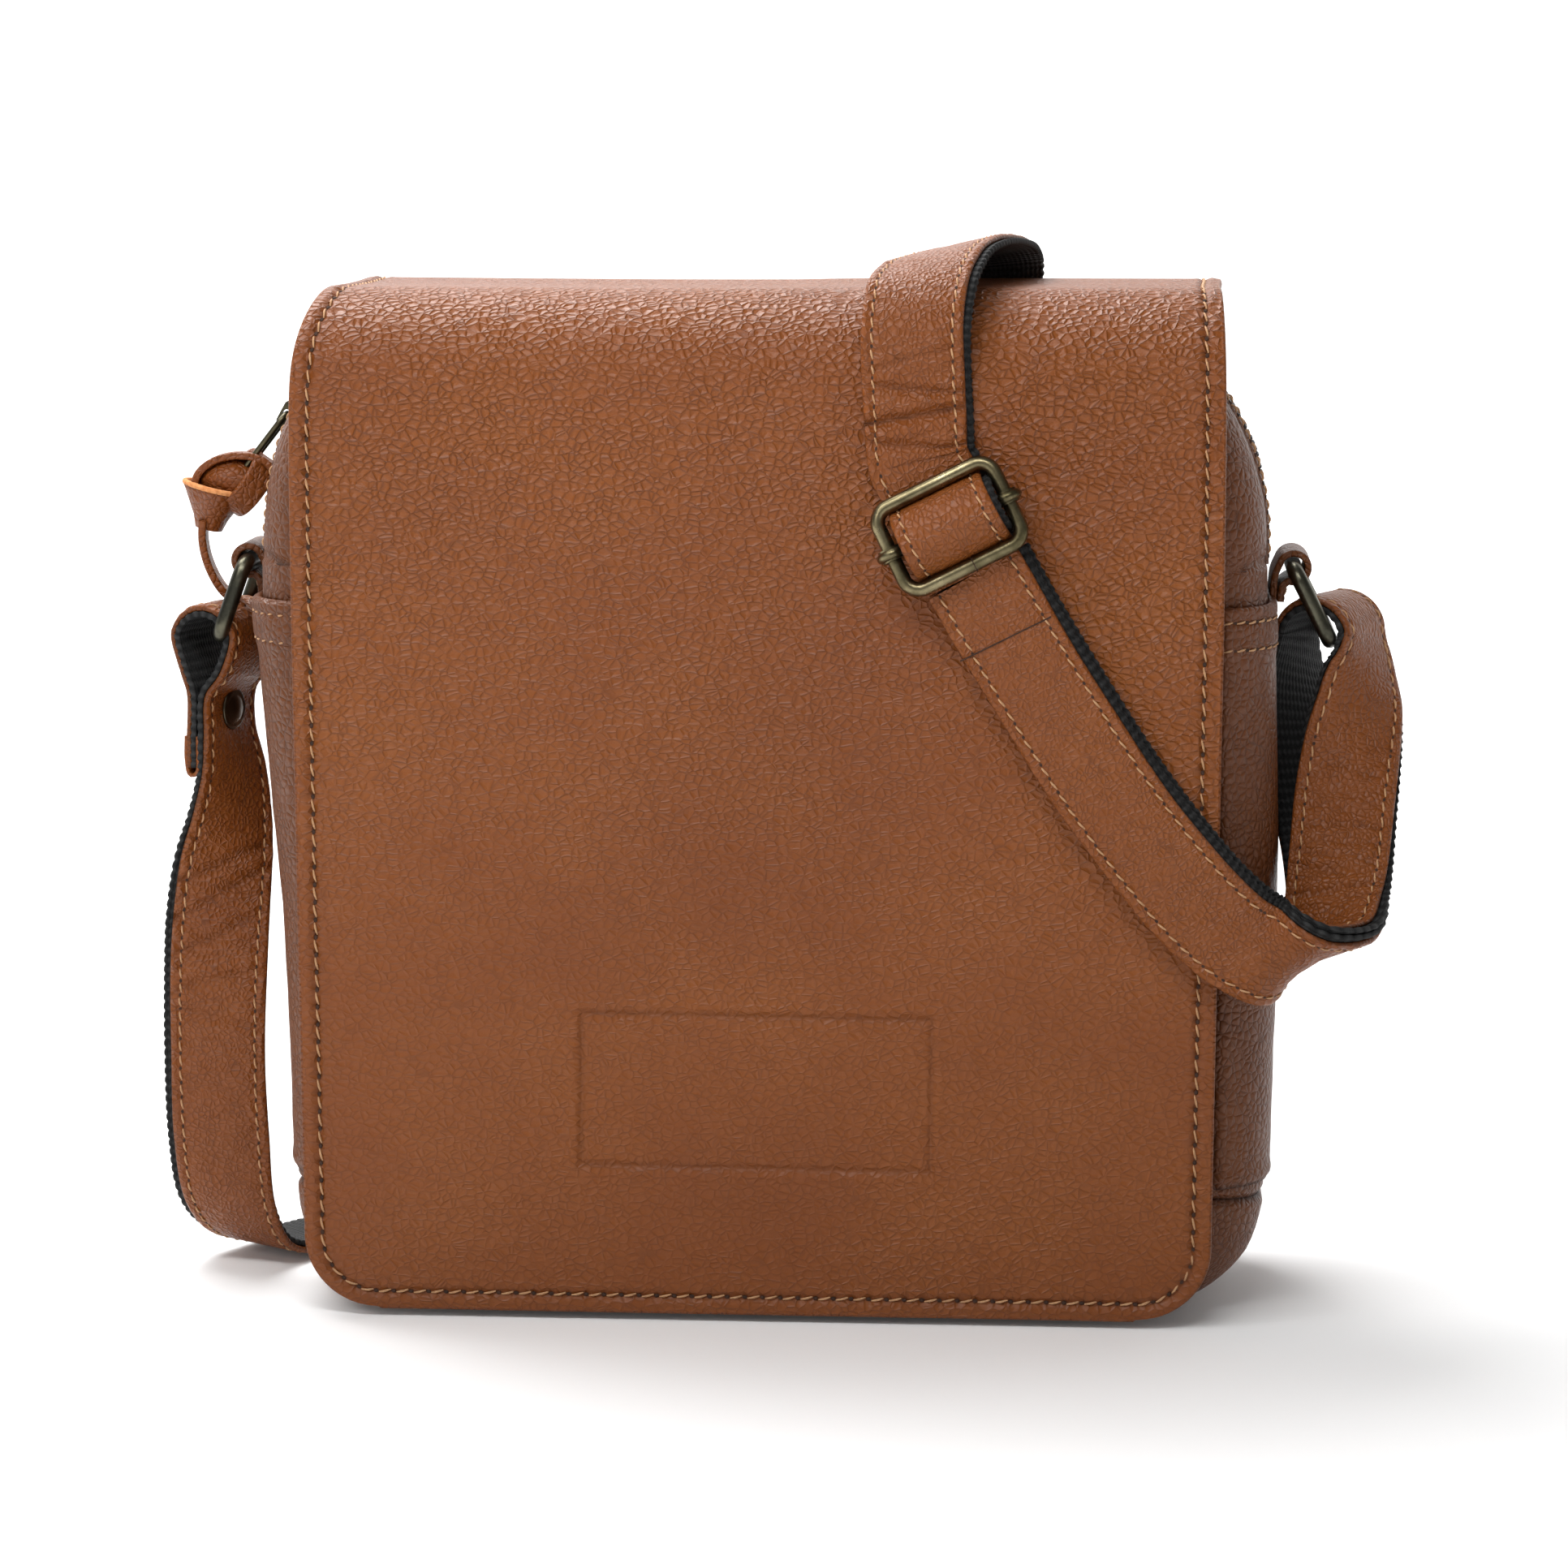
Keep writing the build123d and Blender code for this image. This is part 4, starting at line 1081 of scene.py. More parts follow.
def seam_relief(run, x):
    """Groove of the sewn row, pinched at each needle hole, with a puffed roll outside it."""
    gap = border_gap(run, x)
    _, length = edge_path(STITCH_INSET)
    holes, _ = edge_path(STITCH_INSET, int(length // STITCH_PITCH) + 1)
    groove = -0.42 * bell(gap - STITCH_INSET, 0.7)
    roll = 0.3 * bell(gap - STITCH_INSET + 2.1, 0.9) + 0.12 * bell(gap - STITCH_INSET - 1.6, 0.9)
    pinch = np.zeros_like(gap)
    close = gap < 8
    spots = np.stack([run[close], x[close]], -1)
    nearest = np.full(len(spots), 1e9)
    for hole in holes:
        nearest = np.minimum(nearest, np.sum((spots - hole) ** 2, -1))
    nearest = np.sqrt(nearest)
    pinch[close] = -0.5 * bell(nearest, 0.75) - 0.16 * bell(nearest, 2.2)
    return groove + roll + pinch, -pinch


def flap_surface(run, x):
    """Height of the flap's outer face over its plain form, and painted shade for its needle-hole pinches and
    emboss groove.
    """
    seam, pinch = seam_relief(run, x)
    emboss, groove = flap_emboss(run, x)
    return flap_slouch(run, x) + seam + emboss, np.clip(pinch * 0.9 - groove * 0.35, 0, 1)


def border_of(points):
    """The left, bottom and right edges of a grid of points, as one row."""
    return np.concatenate([points[:, 0], points[-1, 1:], points[::-1, -1][1:]])


def make_flap():
    """The leather from its sewn-on edge to its hem, with a rolled edge turned under it."""
    emboss_run = FRONT_RUN + FLAP_TOP - FRONT_ROUND - EMBOSS_CENTRE[1]
    fine_runs = [FLAP_RUN - STITCH_INSET, emboss_run - EMBOSS_HALF[1], emboss_run + EMBOSS_HALF[1]]
    fine_x = (-FLAP_HALF + 3, FLAP_HALF - 3, -EMBOSS_HALF[0], EMBOSS_HALF[0])
    runs = steps(0, FLAP_RUN, 0.95, 0.5, fine_runs, 3.5)
    shares = steps(-FLAP_HALF, FLAP_HALF, 1.2, 0.5, fine_x, 4) / FLAP_HALF
    run, share = np.meshgrid(runs, shares, indexing="ij")
    x = np.where(share > 0, share * flap_half(run, 1), share * flap_half(run, -1))
    # The second value is painted shade for the pinches and the emboss groove.
    height, shade_and_edge = flap_surface(run, x)
    points = flap_point(run, x, height)
    form = Form()
    form.grid(points, np.stack([x, run], -1), shade_and_edge)
    border = border_of(points)
    inner = flap_point(run, x * (1 - EDGE_IN / FLAP_HALF), height - FLAP_THICK)
    inner[-1, 1:, 2] += 1.0
    inside = border_of(inner)
    hem_x = np.where(share > 0, 1, -1) * (np.abs(x) - FLAP_HEM)
    hem_run = np.minimum(run, FLAP_RUN - FLAP_HEM)
    hem_in = border_of(flap_point(hem_run, hem_x, height - FLAP_THICK - 0.1))
    middle = (border + inside) / 2
    outward = np.tile((0, 0, -1), (len(border), 1))
    outward[: len(runs)] = (-1, 0, 0)
    outward[-len(runs):] = (1, 0, 0)
    rim = [border]
    for angle in np.linspace(0, math.pi, 7)[1:-1]:
        bow = outward * EDGE_ROLL * math.sin(angle)
        rim.append(middle + (border - middle) * math.cos(angle) + bow)
    rim += [inside, hem_in]
    rim_places = np.stack([border[:, 0], border[:, 2]], -1)
    shades_and_edges = np.linspace(0.1, 0.4, len(rim))[:, None] * np.ones(len(border))
    form.grid(np.array(rim), np.broadcast_to(rim_places, (len(rim),) + rim_places.shape), shades_and_edges)
    flap = form.make("flap", "flap_leather")
    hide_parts("flap_leather", "flap_fold", "flap_anchor")
    FLAP_LINK(flap)

    lining = Form()
    run, share = np.meshgrid(steps(2, FLAP_RUN - 4, 3.5), np.linspace(-1, 1, 70), indexing="ij")
    x = share * (np.where(share > 0, flap_half(run, 1), flap_half(run, -1)) - 3.5)
    lining.grid(flap_point(run, x, flap_slouch(run, x) - LINING_DROP), np.stack([x, run], -1))
    FLAP_LINK(lining.make("flap_lining", "flap_lining"))

    run, x = edge_path(STITCH_INSET)[0].T
    smooth = flap_slouch(run, x) - 0.38
    points = flap_point(run, x, smooth)
    ups = flap_point(run, x, smooth + 1) - points
    sew("flap", [(points, ups)], FLAP_LINK, STITCH_PITCH, 0.34, 0.31)


# ---------------------------------------------------------------- strap

PLY = 1.5
HALF_GAP = 0.05
STRAP_HALF = 12.5
GROOVE_X = 9.7
EDGE_WAVE = 0.12
RIB_HEIGHT = 0.09
RIB_PITCH = 2.4
ADJUSTER_TURN = math.radians(26.7)
ADJUSTER_CENTRE = np.array((47.2, FLAP_FRONT, 200.0))
ADJUSTER_ACROSS = np.array((math.cos(ADJUSTER_TURN), 0, math.sin(ADJUSTER_TURN)))
ADJUSTER_DOWN = np.array((math.sin(ADJUSTER_TURN), 0, -math.cos(ADJUSTER_TURN)))
ADJUSTER_REACH = 10.7
TOP_BAR_OUT = 5.4
BOTTOM_BAR_OUT = 8.6
CENTRE_BAR_OUT = (TOP_BAR_OUT + BOTTOM_BAR_OUT) / 2
HALF_STRAP = PLY + HALF_GAP
LOOP_RADIUS = 1.5 + 0.3 + HALF_STRAP
WAVE_RADIUS = LOOP_RADIUS + 2 * HALF_STRAP + 0.3
HUG_RADIUS = 1.8 + 0.25 + HALF_STRAP
ACROSS = tuple(ADJUSTER_ACROSS)


def adjuster_point(down, out):
    return tuple(ADJUSTER_CENTRE + ADJUSTER_DOWN * down + np.array((0, -out, 0)))


def tilt(degrees):
    return (math.cos(math.radians(degrees)), 0, math.sin(math.radians(degrees)))


class Upright:
    """An upright plane beside a ring, turned from facing sideways towards the front."""

    def __init__(self, x, degrees):
        turn = math.radians(degrees)
        self.x = x
        self.out = (math.cos(turn), -math.sin(turn))
        self.across = (math.sin(turn), math.cos(turn), 0)

    def point(self, out, z):
        return (self.x + out * self.out[0], out * self.out[1], z)

    def route(self, pairs):
        return [(self.point(out, z), self.across) for out, z in pairs]


LEFT_END = Upright(-139.2, 20)
RIGHT_END = Upright(141.1, 24)
TURN_Z = 168.2

# Each route lists (point, direction across the strap), by stretch of the strap.
RING_END = [(-4.0, 133), (-3.95, 140), (-3.8, 152), (-5.6, 157.5)]
RING_END += on_circle((-0.2, 165.2), 8.1, range(170, 9, -20))
RING_END += [(4.6, 157.5), (0.2, 151.5), (-0.3, 141)]
FALL_ROUTE = [
    ((-138.5, 0, 130), (0.5, 0.87, 0)),
    ((-138.9, -1, 118), (0.7, 0.71, 0)),
    ((-140.4, -3, 104), (0.92, 0.39, 0)),
    ((-141.6, -5, 85), (0.995, 0.1, 0)),
    ((-142.3, -5.5, 60), (1, 0, 0)),
    ((-142.1, -4, 36), (1, 0, 0)),
    ((-140.8, 0, 18), (0.98, -0.1, -0.1)),
    ((-136.5, 7, 7.2), (0.92, -0.3, -0.1)),
    ((-129, 18, 2.6), (0.85, -0.5, 0)),
    ((-118, 32, 1.9), (0.8, -0.6, 0)),
    ((-106, 48, 2.4), (0.8, -0.6, 0)),
    ((-95, 60, 8), (0.84, -0.54, 0)),
    ((-86, 65, 20), (0.9, -0.4, -0.15)),
]
RISE_ROUTE = [
    ((-76, 63, 38), (0.9, -0.1, -0.4)),
    ((-60, 56, 64), (0.85, 0, -0.52)),
    ((-38, 49.5, 96), (0.83, 0, -0.56)),
    ((-8, 46.2, 138), (0.82, 0, -0.57)),
    ((22, 45.6, 182), (0.86, 0, -0.5)),
    ((42, 46, 214), (0.93, 0, -0.36)),
]
FOLD_ROUTE = [
    ((50, 46.5, 234), (0.97, 0, -0.2)),
    ((53.5, 45.2, 248), (0.98, 0, -0.1)),
    ((54, 39.5, 258.5), (0.99, 0, 0.05)),
]
OVER_ROUTE = [
    ((53, 27, 262.5), (0.98, 0, 0.1)),
    ((51, 9, 264), (0.97, 0, 0.18)),
    ((46, -12, 264.2), (0.96, 0.1, 0.22)),
    ((41.5, -30, 262), (0.96, 0.15, 0.2)),
    ((38.8, -43, 256.5), (0.98, 0.1, 0.14)),
    ((37.9, -49.2, 247), (0.99, 0.0, 0.12)),
    ((38.1, -49.0, 237), (0.985, 0, 0.17)),
    ((38.7, -48.9, 226), (0.96, 0, 0.28)),
]
WAVE = [(-17, TOP_BAR_OUT - HUG_RADIUS)]
WAVE += on_circle((-ADJUSTER_REACH, TOP_BAR_OUT), HUG_RADIUS, (270, 288, 306, 323, 340))
WAVE += on_circle((0, CENTRE_BAR_OUT), WAVE_RADIUS, range(160, 19, -20))
WAVE += on_circle((ADJUSTER_REACH, BOTTOM_BAR_OUT), HUG_RADIUS, (200, 217, 234, 252, 270))
WAVE += [(13, BOTTOM_BAR_OUT - HUG_RADIUS)]

PAIR_OUT = 3.4
PAIR_Y = FLAP_FRONT - PAIR_OUT
DIAGONAL_ROUTE = [
    (adjuster_point(13.1, PAIR_OUT), ACROSS),
    ((61, PAIR_Y, 174.5), tilt(28.5)),
    ((72, PAIR_Y, 156.5), tilt(30)),
    ((86, PAIR_Y, 135), tilt(33)),
    ((98.5, PAIR_Y, 118.5), tilt(36)),
    ((109.5, PAIR_Y, 106), tilt(39)),
]
LOOP_ROUTE = [
    ((118.6, PAIR_Y - 0.1, 98.4), tilt(41)),
    ((126.5, PAIR_Y - 0.3, 95.0), (0.78, -0.04, 0.62)),
    ((134.5, -46.6, 95.4), (0.82, -0.22, 0.5)),
    ((141, -38.5, 99.0), (0.88, -0.33, 0.35)),
]
INNER_ROUTE = [
    ((142.4, -31, 107.0), (0.96, -0.18, 0.2)),
    ((143.4, -25, 117.5), (1, 0, 0.05)),
    ((144.6, -19.5, 129), (1, 0, 0)),
    ((146.0, -14.5, 141), (0.98, 0.2, 0)),
    ((147.6, -9.5, 152), (0.85, 0.53, 0)),
    ((148.2, -5, 161), (0.6, 0.8, 0)),
]
OUTER_ROUTE = [
    ((141.9, -30.2, 107.4), (0.96, -0.18, 0.2)),
    ((141.4, -23.2, 118), (1, 0, 0.05)),
    ((139.4, -15.5, 129), (1, 0, 0)),
    ((137.4, -8.5, 140), (0.97, 0.25, 0)),
    ((135.4, -2.6, 151), (0.78, 0.62, 0)),
    ((134.3, 1.6, 161), (0.5, 0.86, 0)),
]
TURN_ROUTE = RIGHT_END.route(on_circle((0, TURN_Z), 7.4, range(180, -1, -20)))


class Strip:
    """A smooth strap line: evenly spaced points with directions across, and up on its
    leather side. It's made of named stretches, each with a route."""

    def __init__(self, stretches, step=0.8):
        route = [station for _, stretch in stretches for station in stretch]
        points = np.array([point for point, _ in route], float)
        across = unit([way for _, way in route])
        knots = knots_of(points)
        fine = np.linspace(0, knots[-1], len(knots) * 60)
        dense = hermite(knots, points, fine)
        run = lengths(dense)
        self.end = run[-1]
        self.run = np.linspace(0, self.end, int(self.end / step) + 1)
        self.points = sampled(self.run, run, dense)
        ways = sampled(self.run, run, hermite(knots, across, fine))
        along = unit(np.gradient(self.points, axis=0))
        self.across = unit(ways - along * np.sum(ways * along, -1, keepdims=True))
        self.ups = np.cross(along, self.across)
        self.starts = {}
        index = 0
        for name, stretch in stretches:
            self.starts[name] = np.interp(knots[index], fine, run)
            index += len(stretch)

    def part(self, start, end):
        """The samples from one distance to another."""
        first, last = (int(round(place / self.end * (len(self.run) - 1))) for place in (start, end))
        return slice(first, last + 1)


def leather_section():
    """Top with a sewn groove near each edge, eased sides and a flat underside."""
    half = STRAP_HALF - 0.15
    top = [
        (-half + 0.25, 1.2), (-half + 0.7, 1.45), (-11.2, 1.55), (-10.6, 1.5), (-10.1, 1.3),
        (-GROOVE_X, 1.22), (-9.3, 1.3), (-8.8, 1.48), (-7.5, 1.56), (-5, 1.6), (-2.5, 1.62), (0, 1.63),
    ]
    right = [(-x, h) for x, h in top[:-1]][::-1]
    edge = [(half, 0.8), (half, 0.4), (half - 0.2, 0.05)]
    under = [(6, 0.0), (-6, 0.0)]
    return np.array(top + right + edge + under + [(-x, h) for x, h in edge[::-1]])


LEATHER_SECTION = leather_section()
WEBBING_SECTION = rounded_strip(STRAP_HALF + 0.25, PLY, columns=11, corner=0.55)


def wrinkle(run, across, zones, seed):
    """Crosswise creases of the leather in zones of (centre, reach, depth, pitch, slant);
    a zone without a pitch is one fold right across."""
    run, across = np.broadcast_arrays(run, across)
    still = np.zeros_like(run)
    height = 0.1 * noise_at(np.stack([run, across, still], -1), 11.0, seed)
    for centre, reach, depth, pitch, slant in zones:
        if pitch == 0:
            wander = noise_at(np.stack([across / 9, still + centre, still], -1), 1.0, seed)
            gap = run - centre - slant * across - 1.3 * wander
            before = 0.45 * bell(gap + 2.2 * reach, 1.3 * reach)
            after = 0.55 * bell(gap - 2.4 * reach, 1.4 * reach)
            height = height + depth * (before + after - bell(gap, reach))
            continue
        weight = bell(run - centre, reach)
        where = weight > 0.02
        lines = np.stack([(run + slant * across) / pitch, across / 11.0, still], -1)[where]
        first = noise_at(lines, 1.0, seed + 3)
        second = noise_at(lines * 2.1, 1.0, seed + 4)
        ridge = np.clip(1 - 4 * np.abs(first), 0, 1) + 0.5 * np.clip(1 - 4 * np.abs(second), 0, 1)
        height = height.copy()
        height[where] += depth * weight[where] * (0.45 - ridge)
    return height


def strap_plies(name, strip, where, link, side=0, zones=(), seed=0, sewn=True, aside=None):
    """Leather and webbing of a stretch, and the two sewn rows. side 0 is a single strap,
    1 the outer and -1 the inner strap of a pair that lies web to web. aside is a table of
    how far the webbing sits beside the leather, by distance along the strap. link is called
    with each piece, to say what it rides."""
    run = strip.run[where]
    points, across, ups = strip.points[where], strip.across[where], strip.ups[where]
    web_low, face_low, facing = -HALF_STRAP, HALF_GAP, 1.0
    if side != 0:
        web_low, face_low, facing = 2 * HALF_GAP, 4 * HALF_GAP + PLY, float(side)

    def build(ply, material, x, shift, height, shades_and_edges=None):
        """A ply from the x and height of its cross-section, moved sideways by shift."""
        lift = facing * height
        shape = points[:, None] + across[:, None] * (x + shift)[..., None] + ups[:, None] * lift[..., None]
        form = Form()
        form.loft(shape, np.stack([x, np.broadcast_to(run[:, None], x.shape)], -1), shades_and_edges)
        link(form.make(name + ply, material))

    x, height = (np.broadcast_to(column, (len(run), len(LEATHER_SECTION))) for column in LEATHER_SECTION.T)
    dip = wrinkle(run[:, None], x, zones, seed)
    height = height + dip * ramp(height, 0.9, 1.4)
    edge_wave = EDGE_WAVE * np.sin(run / 7.0 + seed)[:, None] * np.sign(x) * (np.abs(x) > 11)
    # Dark dyed edges, and painted shade where the wrinkles dip.
    shades_and_edges = np.clip(0.45 * (np.abs(x) > STRAP_HALF - 0.3) - np.minimum(dip, 0) * 0.16, 0, 0.8)
    build("_leather", "strap_leather", x, edge_wave, face_low + height, shades_and_edges)

    x, height = (np.broadcast_to(column, (len(run), len(WEBBING_SECTION))) for column in WEBBING_SECTION.T)
    rib = RIB_HEIGHT * np.sin(run * 2 * math.pi / RIB_PITCH)[:, None]
    weave = rib * np.where(np.abs(x) > STRAP_HALF - 0.6, 2.4 * np.sign(x), 0)
    height = height + rib * (height > 0.7) - rib * (height < 0.6)
    if aside is not None:
        weave = weave + np.interp(run, *aside)[:, None]
    build("_webbing", "webbing", x, weave, web_low + height)

    if sewn:
        rows = []
        for row_x in (-GROOVE_X, GROOVE_X):
            relief = 0.7 * wrinkle(run, np.full(len(run), row_x), zones, seed)
            lift = facing * (face_low + 1.24 + relief)
            row = points + across * row_x + ups * lift[:, None]
            rows.append((row[1:-1], facing * ups[1:-1]))
        sew(name, rows, link, pitch=3.9, size=0.3)


LEFT_FALL = bending((-139, 0, 130), (-143, 0, 62))
BACK_FOLD = bending((47, 46, 222), (47, 36, 254))
TO_ADJUSTER = bending((38.5, -49, 250), (38.7, -49, 222))
FROM_ADJUSTER = bending((53.5, -50, 188), (92, -50, 126))
OFF_FLAP = bending((119, -50, 98), (144, -24, 116))
TO_RIGHT_RING = bending((143, -16, 128), (143, 0, 166))


def make_single_strap():
    """From the folded end at the left ring, along the floor, up the back, over the top
    and down the front, as far as the adjuster's lower bar."""
    stretches = [
        ("strap_end", LEFT_END.route(RING_END)),
        ("strap_fall", FALL_ROUTE),
        ("strap_rise", RISE_ROUTE),
        ("strap_fold", FOLD_ROUTE),
        ("strap_over", OVER_ROUTE),
        ("strap_wave", [(adjuster_point(down, out), ACROSS) for down, out in WAVE]),
    ]
    strip = Strip(stretches)
    begin, fall, rise, fold, over, wave = strip.starts.values()
    ends = [fall, rise, fold, over, wave, strip.end]
    creases = (
        ((begin + 40, 14, 0.25, 4, 0.1),),
        ((fall + 38, 30, 0.7, 6.5, -0.5), (fall + 85, 30, 0.5, 7.0, 0.3), (fall + 22, 1.1, 0.8, 0, -0.5),
         (fall + 31, 1.2, 0.9, 0, -0.6), (fall + 41, 1.1, 0.8, 0, -0.5), (fall + 53, 1.2, 0.8, 0, -0.3),
         (fall + 63, 1.0, 0.5, 0, 0.2)),
        ((rise + 60, 40, 0.2, 8.0, 0.2),),
        (),
        ((wave - 16, 16, 0.6, 4.6, 0.12), (wave - 40, 16, 0.5, 5.0, -0.4), (over + 28, 22, 0.3, 7.0, 0.3),
         (wave - 4, 0.9, 1.0, 0, 0.1), (wave - 11, 1.2, 1.5, 0, -0.16), (wave - 17.5, 0.9, 0.9, 0, 0.12),
         (wave - 25, 0.8, 0.6, 0, -0.3)),
        (),
    )
    links = (riding("left_ring"), LEFT_FALL, riding("bag"), BACK_FOLD, TO_ADJUSTER, riding("adjuster"))
    aside = (
        (0, fall + 5, fall + 40, fall + 120, rise + 40, fold, over, wave - 4, strip.end),
        (0, 0, -1.5, -1.5, 0, 0.6, 1.5, 1.3, 0.9),
    )
    for index, (name, _) in enumerate(stretches):
        where = strip.part(strip.starts[name], ends[index])
        strap_plies(name, strip, where, links[index], 0, creases[index], 70 + 5 * index, aside=aside)


RIVET_Z = 147


def make_rivet():
    """The snap-like rivet right through the folded end, a domed cap on each face."""
    rim = ellipse(40, LEFT_END.across, (0, 0, 1.0))
    profile = [
        (-7.0, 0.2), (-6.9, 2.6), (-6.5, 4.2), (-5.9, 5.2), (-5.5, 5.4), (-5.4, 2.0), (1.4, 2.0),
        (1.5, 5.4), (1.9, 5.2), (2.3, 4.5), (2.1, 3.9), (2.3, 3.3), (2.9, 2.4), (3.1, 0.2),
    ]
    form = Form()
    form.loft([np.array(LEFT_END.point(out, RIVET_Z)) + rim * radius for out, radius in profile])
    form.make_riding("strap_rivet", "snap_metal", "left_ring")


def make_hem():
    """The leather at the folded end is turned in over the webbing's end."""
    turned = [(-4.9, 141), (-5.0, 135), (-4.2, 131.4), (-2.9, 132.0), (-2.6, 136), (-2.6, 141)]
    path = [LEFT_END.point(out, z) for out, z in turned]
    form = Form()
    section = rounded_strip(STRAP_HALF - 0.1, 1.0, corner=0.4)
    sweep_strip(form, curve(path, 40), tuple(-way for way in LEFT_END.across), section)
    form.make_riding("strap_end_hem", "strap_leather", "left_ring")


def make_pair():
    """The pair down the flap, its curl back off the flap's edge and its two risers."""
    run_zones = ((18, 12, 0.18, 5.0, 0.2), (70, 40, 0.14, 8.0, -0.3))
    loop_zones = (
        (140, 26, 0.5, 3.6, 0.1), (165, 22, 0.6, 3.4, -0.12), (185, 16, 0.4, 4.0, 0.2),
        (152, 0.8, 0.5, 0, 0.15), (161, 0.8, 0.55, 0, -0.1), (170, 0.7, 0.45, 0, 0.1),
    )
    pair = (
        (1, 101, 1.4, OUTER_ROUTE, "run", "outer", TURN_ROUTE),
        (-1, 121, 2.3, INNER_ROUTE, "return", "inner", TURN_ROUTE[-1:]),
    )
    for side, seed, beside, riser, first, second, turn in pair:
        strip = Strip([
            ("run", DIAGONAL_ROUTE),
            ("curl", LOOP_ROUTE + riser[:3]),
            ("riser", riser[3:]),
            ("turn", turn),
        ] + ([("down", INNER_ROUTE[::-1][:2])] if side > 0 else []))
        curl, up, top = (strip.starts[name] for name in ("curl", "riser", "turn"))
        aside = ((0, curl + 15, curl + 45, up + 20), (beside, beside, 0.8, 0))
        for name, start, end, link, zones in (
            (first, 0, curl, FROM_ADJUSTER, run_zones),
            (second, curl, up, OFF_FLAP, loop_zones),
            (second + "_riser", up, top, TO_RIGHT_RING, loop_zones),
        ):
            where = strip.part(start, end)
            strap_plies("strap_" + name, strip, where, link, side, zones, seed, aside=aside)
        if side > 0:
            outer = strip
    turn = outer.part(outer.starts["turn"], outer.starts["down"])
    strap_plies("strap_turn", outer, turn, riding("right_ring"), 1, (), 141)


def make_loop_end():
    """The inner strap's end, looped round the adjuster's middle bar."""
    flat = [(13, PAIR_OUT - 0.1 - HALF_STRAP), (8, 1.75), (4, 2.1)]
    flat += on_circle((0, CENTRE_BAR_OUT), LOOP_RADIUS, range(-90, -346, -20))
    strip = Strip([("loop", [(adjuster_point(down, out), ACROSS) for down, out in flat])], 0.5)
    whole = slice(0, len(strip.run))
    strap_plies("strap_loop_end", strip, whole, riding("adjuster"), 0, (), 151, sewn=False)


def make_splice():
    """A dark line across the strap just below the adjuster, where the leather overlaps: painted shadow under
    the overlapped end.
    """
    start = np.array(adjuster_point(30.5, PAIR_OUT + 3.35))
    form = Form()
    form.tube([start + ADJUSTER_ACROSS * x for x in np.linspace(-12.2, 12.2, 15)], 0.32, sides=6, flat=0.6)
    FROM_ADJUSTER(form.make("strap_splice", "painted_shade"))


# ---------------------------------------------------------------- hardware and zip pull


def keep_nodes(names, material):
    """CAD nodes shown as they are, with a finish."""
    for name in names:
        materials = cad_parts[name].data.materials
        materials.clear()
        materials.append(MATERIALS[material])


def make_adjuster_details():
    """A dark ring at the butt seam in the frame's lower bar, painted shade in its gap, and the collars of the
    middle bar's ends.
    """
    lower, upper, centre = (
        np.array(adjuster_point(down, out))
        for down, out in (
            (ADJUSTER_REACH, BOTTOM_BAR_OUT),
            (-ADJUSTER_REACH, TOP_BAR_OUT),
            (0, CENTRE_BAR_OUT),
        )
    )
    seam = Form()
    round_bar = ellipse(24, (0, 1.78, 0), 1.78 * np.cross(ADJUSTER_ACROSS, (0, 1, 0)))
    seam.tube(lower + ADJUSTER_ACROSS * 1.5 + round_bar, 0.16, sides=5, closed=True)
    seam.make_riding("adjuster_butt_seam", "painted_shade", "adjuster")
    collars = Form()
    forward = np.cross(unit(lower - upper), ADJUSTER_ACROSS)
    round_side = ellipse(24, 2.6 * forward, 2.6 * ADJUSTER_ACROSS)
    for side in (-1, 1):
        collars.tube(centre + ADJUSTER_ACROSS * side * 15.5 + round_side, 1.25, sides=12, closed=True)
    collars.make_riding("adjuster_collars", "adjuster_metal", "adjuster")


KNOT = (-133.5, 0, 205)
FLARE = np.array((-143.2, 0, 194.0))
FLARE_AXIS = unit(np.array((0.22, 0, 1.0)))
FLARE_SIDE = unit(np.cross(FLARE_AXIS, (0, 1, 0)))
ROLLED = [
    (-127.5, 0, 200), (-126.4, 0, 205), (-128.8, 0, 209.4), (-135, 0, 210.9), (-141.2, 0, 209.6),
    (-145.2, 0, 206.0), (-144.8, 0, 201.5), (-140.5, 0, 199.0),
]
TAIL = [(-143.5, -1, 196), (-143.8, 0, 190), (-142.6, 1, 184), (-139.5, 2, 178), (-134.5, 2.5, 174.0)]


def flare_ring(height, radius, count):
    """A wavy ring of the flared end, at a height along its axis."""
    wave = 1 + 0.07 * np.sin(full_turn(count) * 3 + 1)
    return FLARE + FLARE_AXIS * height + radius * ellipse(count, FLARE_SIDE, (0, 1, 0)) * wave[:, None]


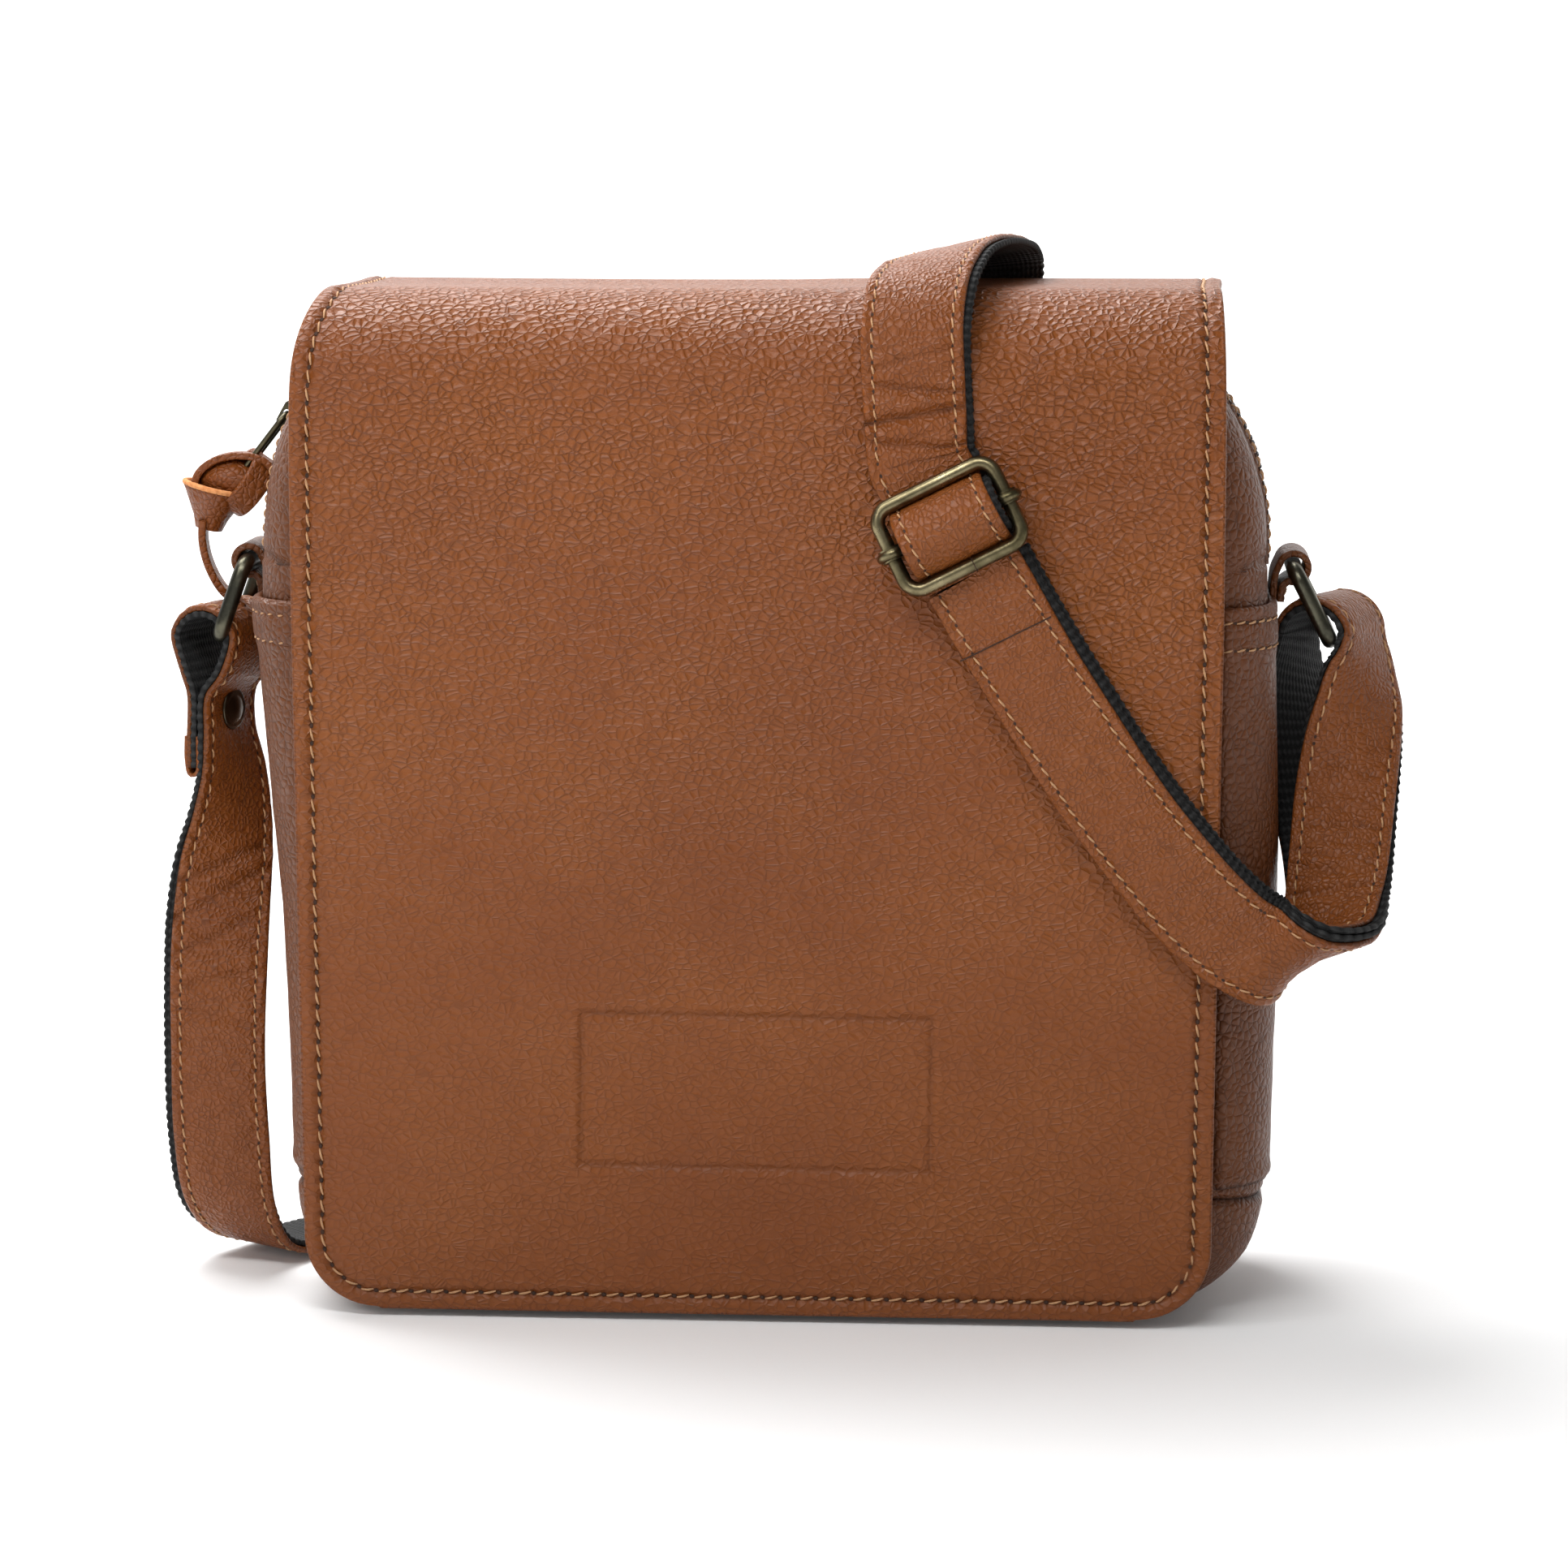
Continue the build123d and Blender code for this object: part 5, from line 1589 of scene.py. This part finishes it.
def make_thong():
    """A leather thong knotted on the pull wire: a rolled turn, a wrap over it, the
    flared end under them, the other end hanging, and a crumpled core that fills it."""
    form = Form()
    sweep_strip(form, curve(ROLLED, 60), (0.12, -1, 0.05), rounded_strip(5.0, 1.9, corner=0.5))
    turns = np.linspace(0, 2 * math.pi, 40)
    wrap = KNOT + np.outer(np.sin(turns), (5.2, 0, 6.6)) + np.outer(np.cos(turns), (-2.2, 7.4, 2.0))
    across = unit(np.cross(np.gradient(wrap, axis=0), wrap - KNOT))
    sweep_strip(form, wrap, across, rounded_strip(3.4, 1.6, corner=0.5))
    sweep_strip(form, curve(TAIL, 50), (0.1, -1, 0), rounded_strip(4.2, 2.0, corner=0.5))
    flare = ((-1, 3.4), (2, 4.4), (5, 6.0), (8, 7.6), (9.6, 8.6), (9.6, 7.2), (6.5, 5.2), (2, 3.2))
    form.loft([flare_ring(height, radius, 36) for height, radius in flare])
    core = []
    for rise in np.linspace(-math.pi / 2 + 0.05, math.pi / 2 - 0.05, 24):
        wide = math.cos(rise)
        centre = (-136.8, 0, 205.2 + 6.0 * math.sin(rise))
        ring = centre + ellipse(40, (8.6 * wide, 0, 0), (0, 6.4 * wide, 0))
        core.append(ring + 1.3 * noise_at(ring, 6.5, 171)[..., None] * (1, 1, 0.6))
    form.loft(core)
    form.make_riding("pull_thong", "thong_leather", "zip_pull")
    rim = Form()
    rim.tube(flare_ring(9.75, 7.95, 48), 0.75, sides=8, closed=True)
    rim.make_riding("pull_thong_raw_edge", "suede", "zip_pull")


make_camera()
make_stage()
make_world()
make_lights()

make_faces()
make_gussets()
make_base()
make_pockets()
make_zip_strips()
make_zip()
make_zip_stops()
make_lining()
make_lugs()
make_flap()
make_single_strap()
make_hem()
make_rivet()
make_pair()
make_loop_end()
make_splice()
make_adjuster_details()
make_thong()

keep_nodes(("base_board",), "board")
keep_nodes(("ring_left", "ring_right"), "ring_metal")
keep_nodes(("adjuster_frame", "adjuster_bar"), "adjuster_metal")
keep_nodes(("zip_slider", "pull_wire"), "zip_metal")
keep_nodes(("snap_socket", "snap_stud"), "snap_metal")
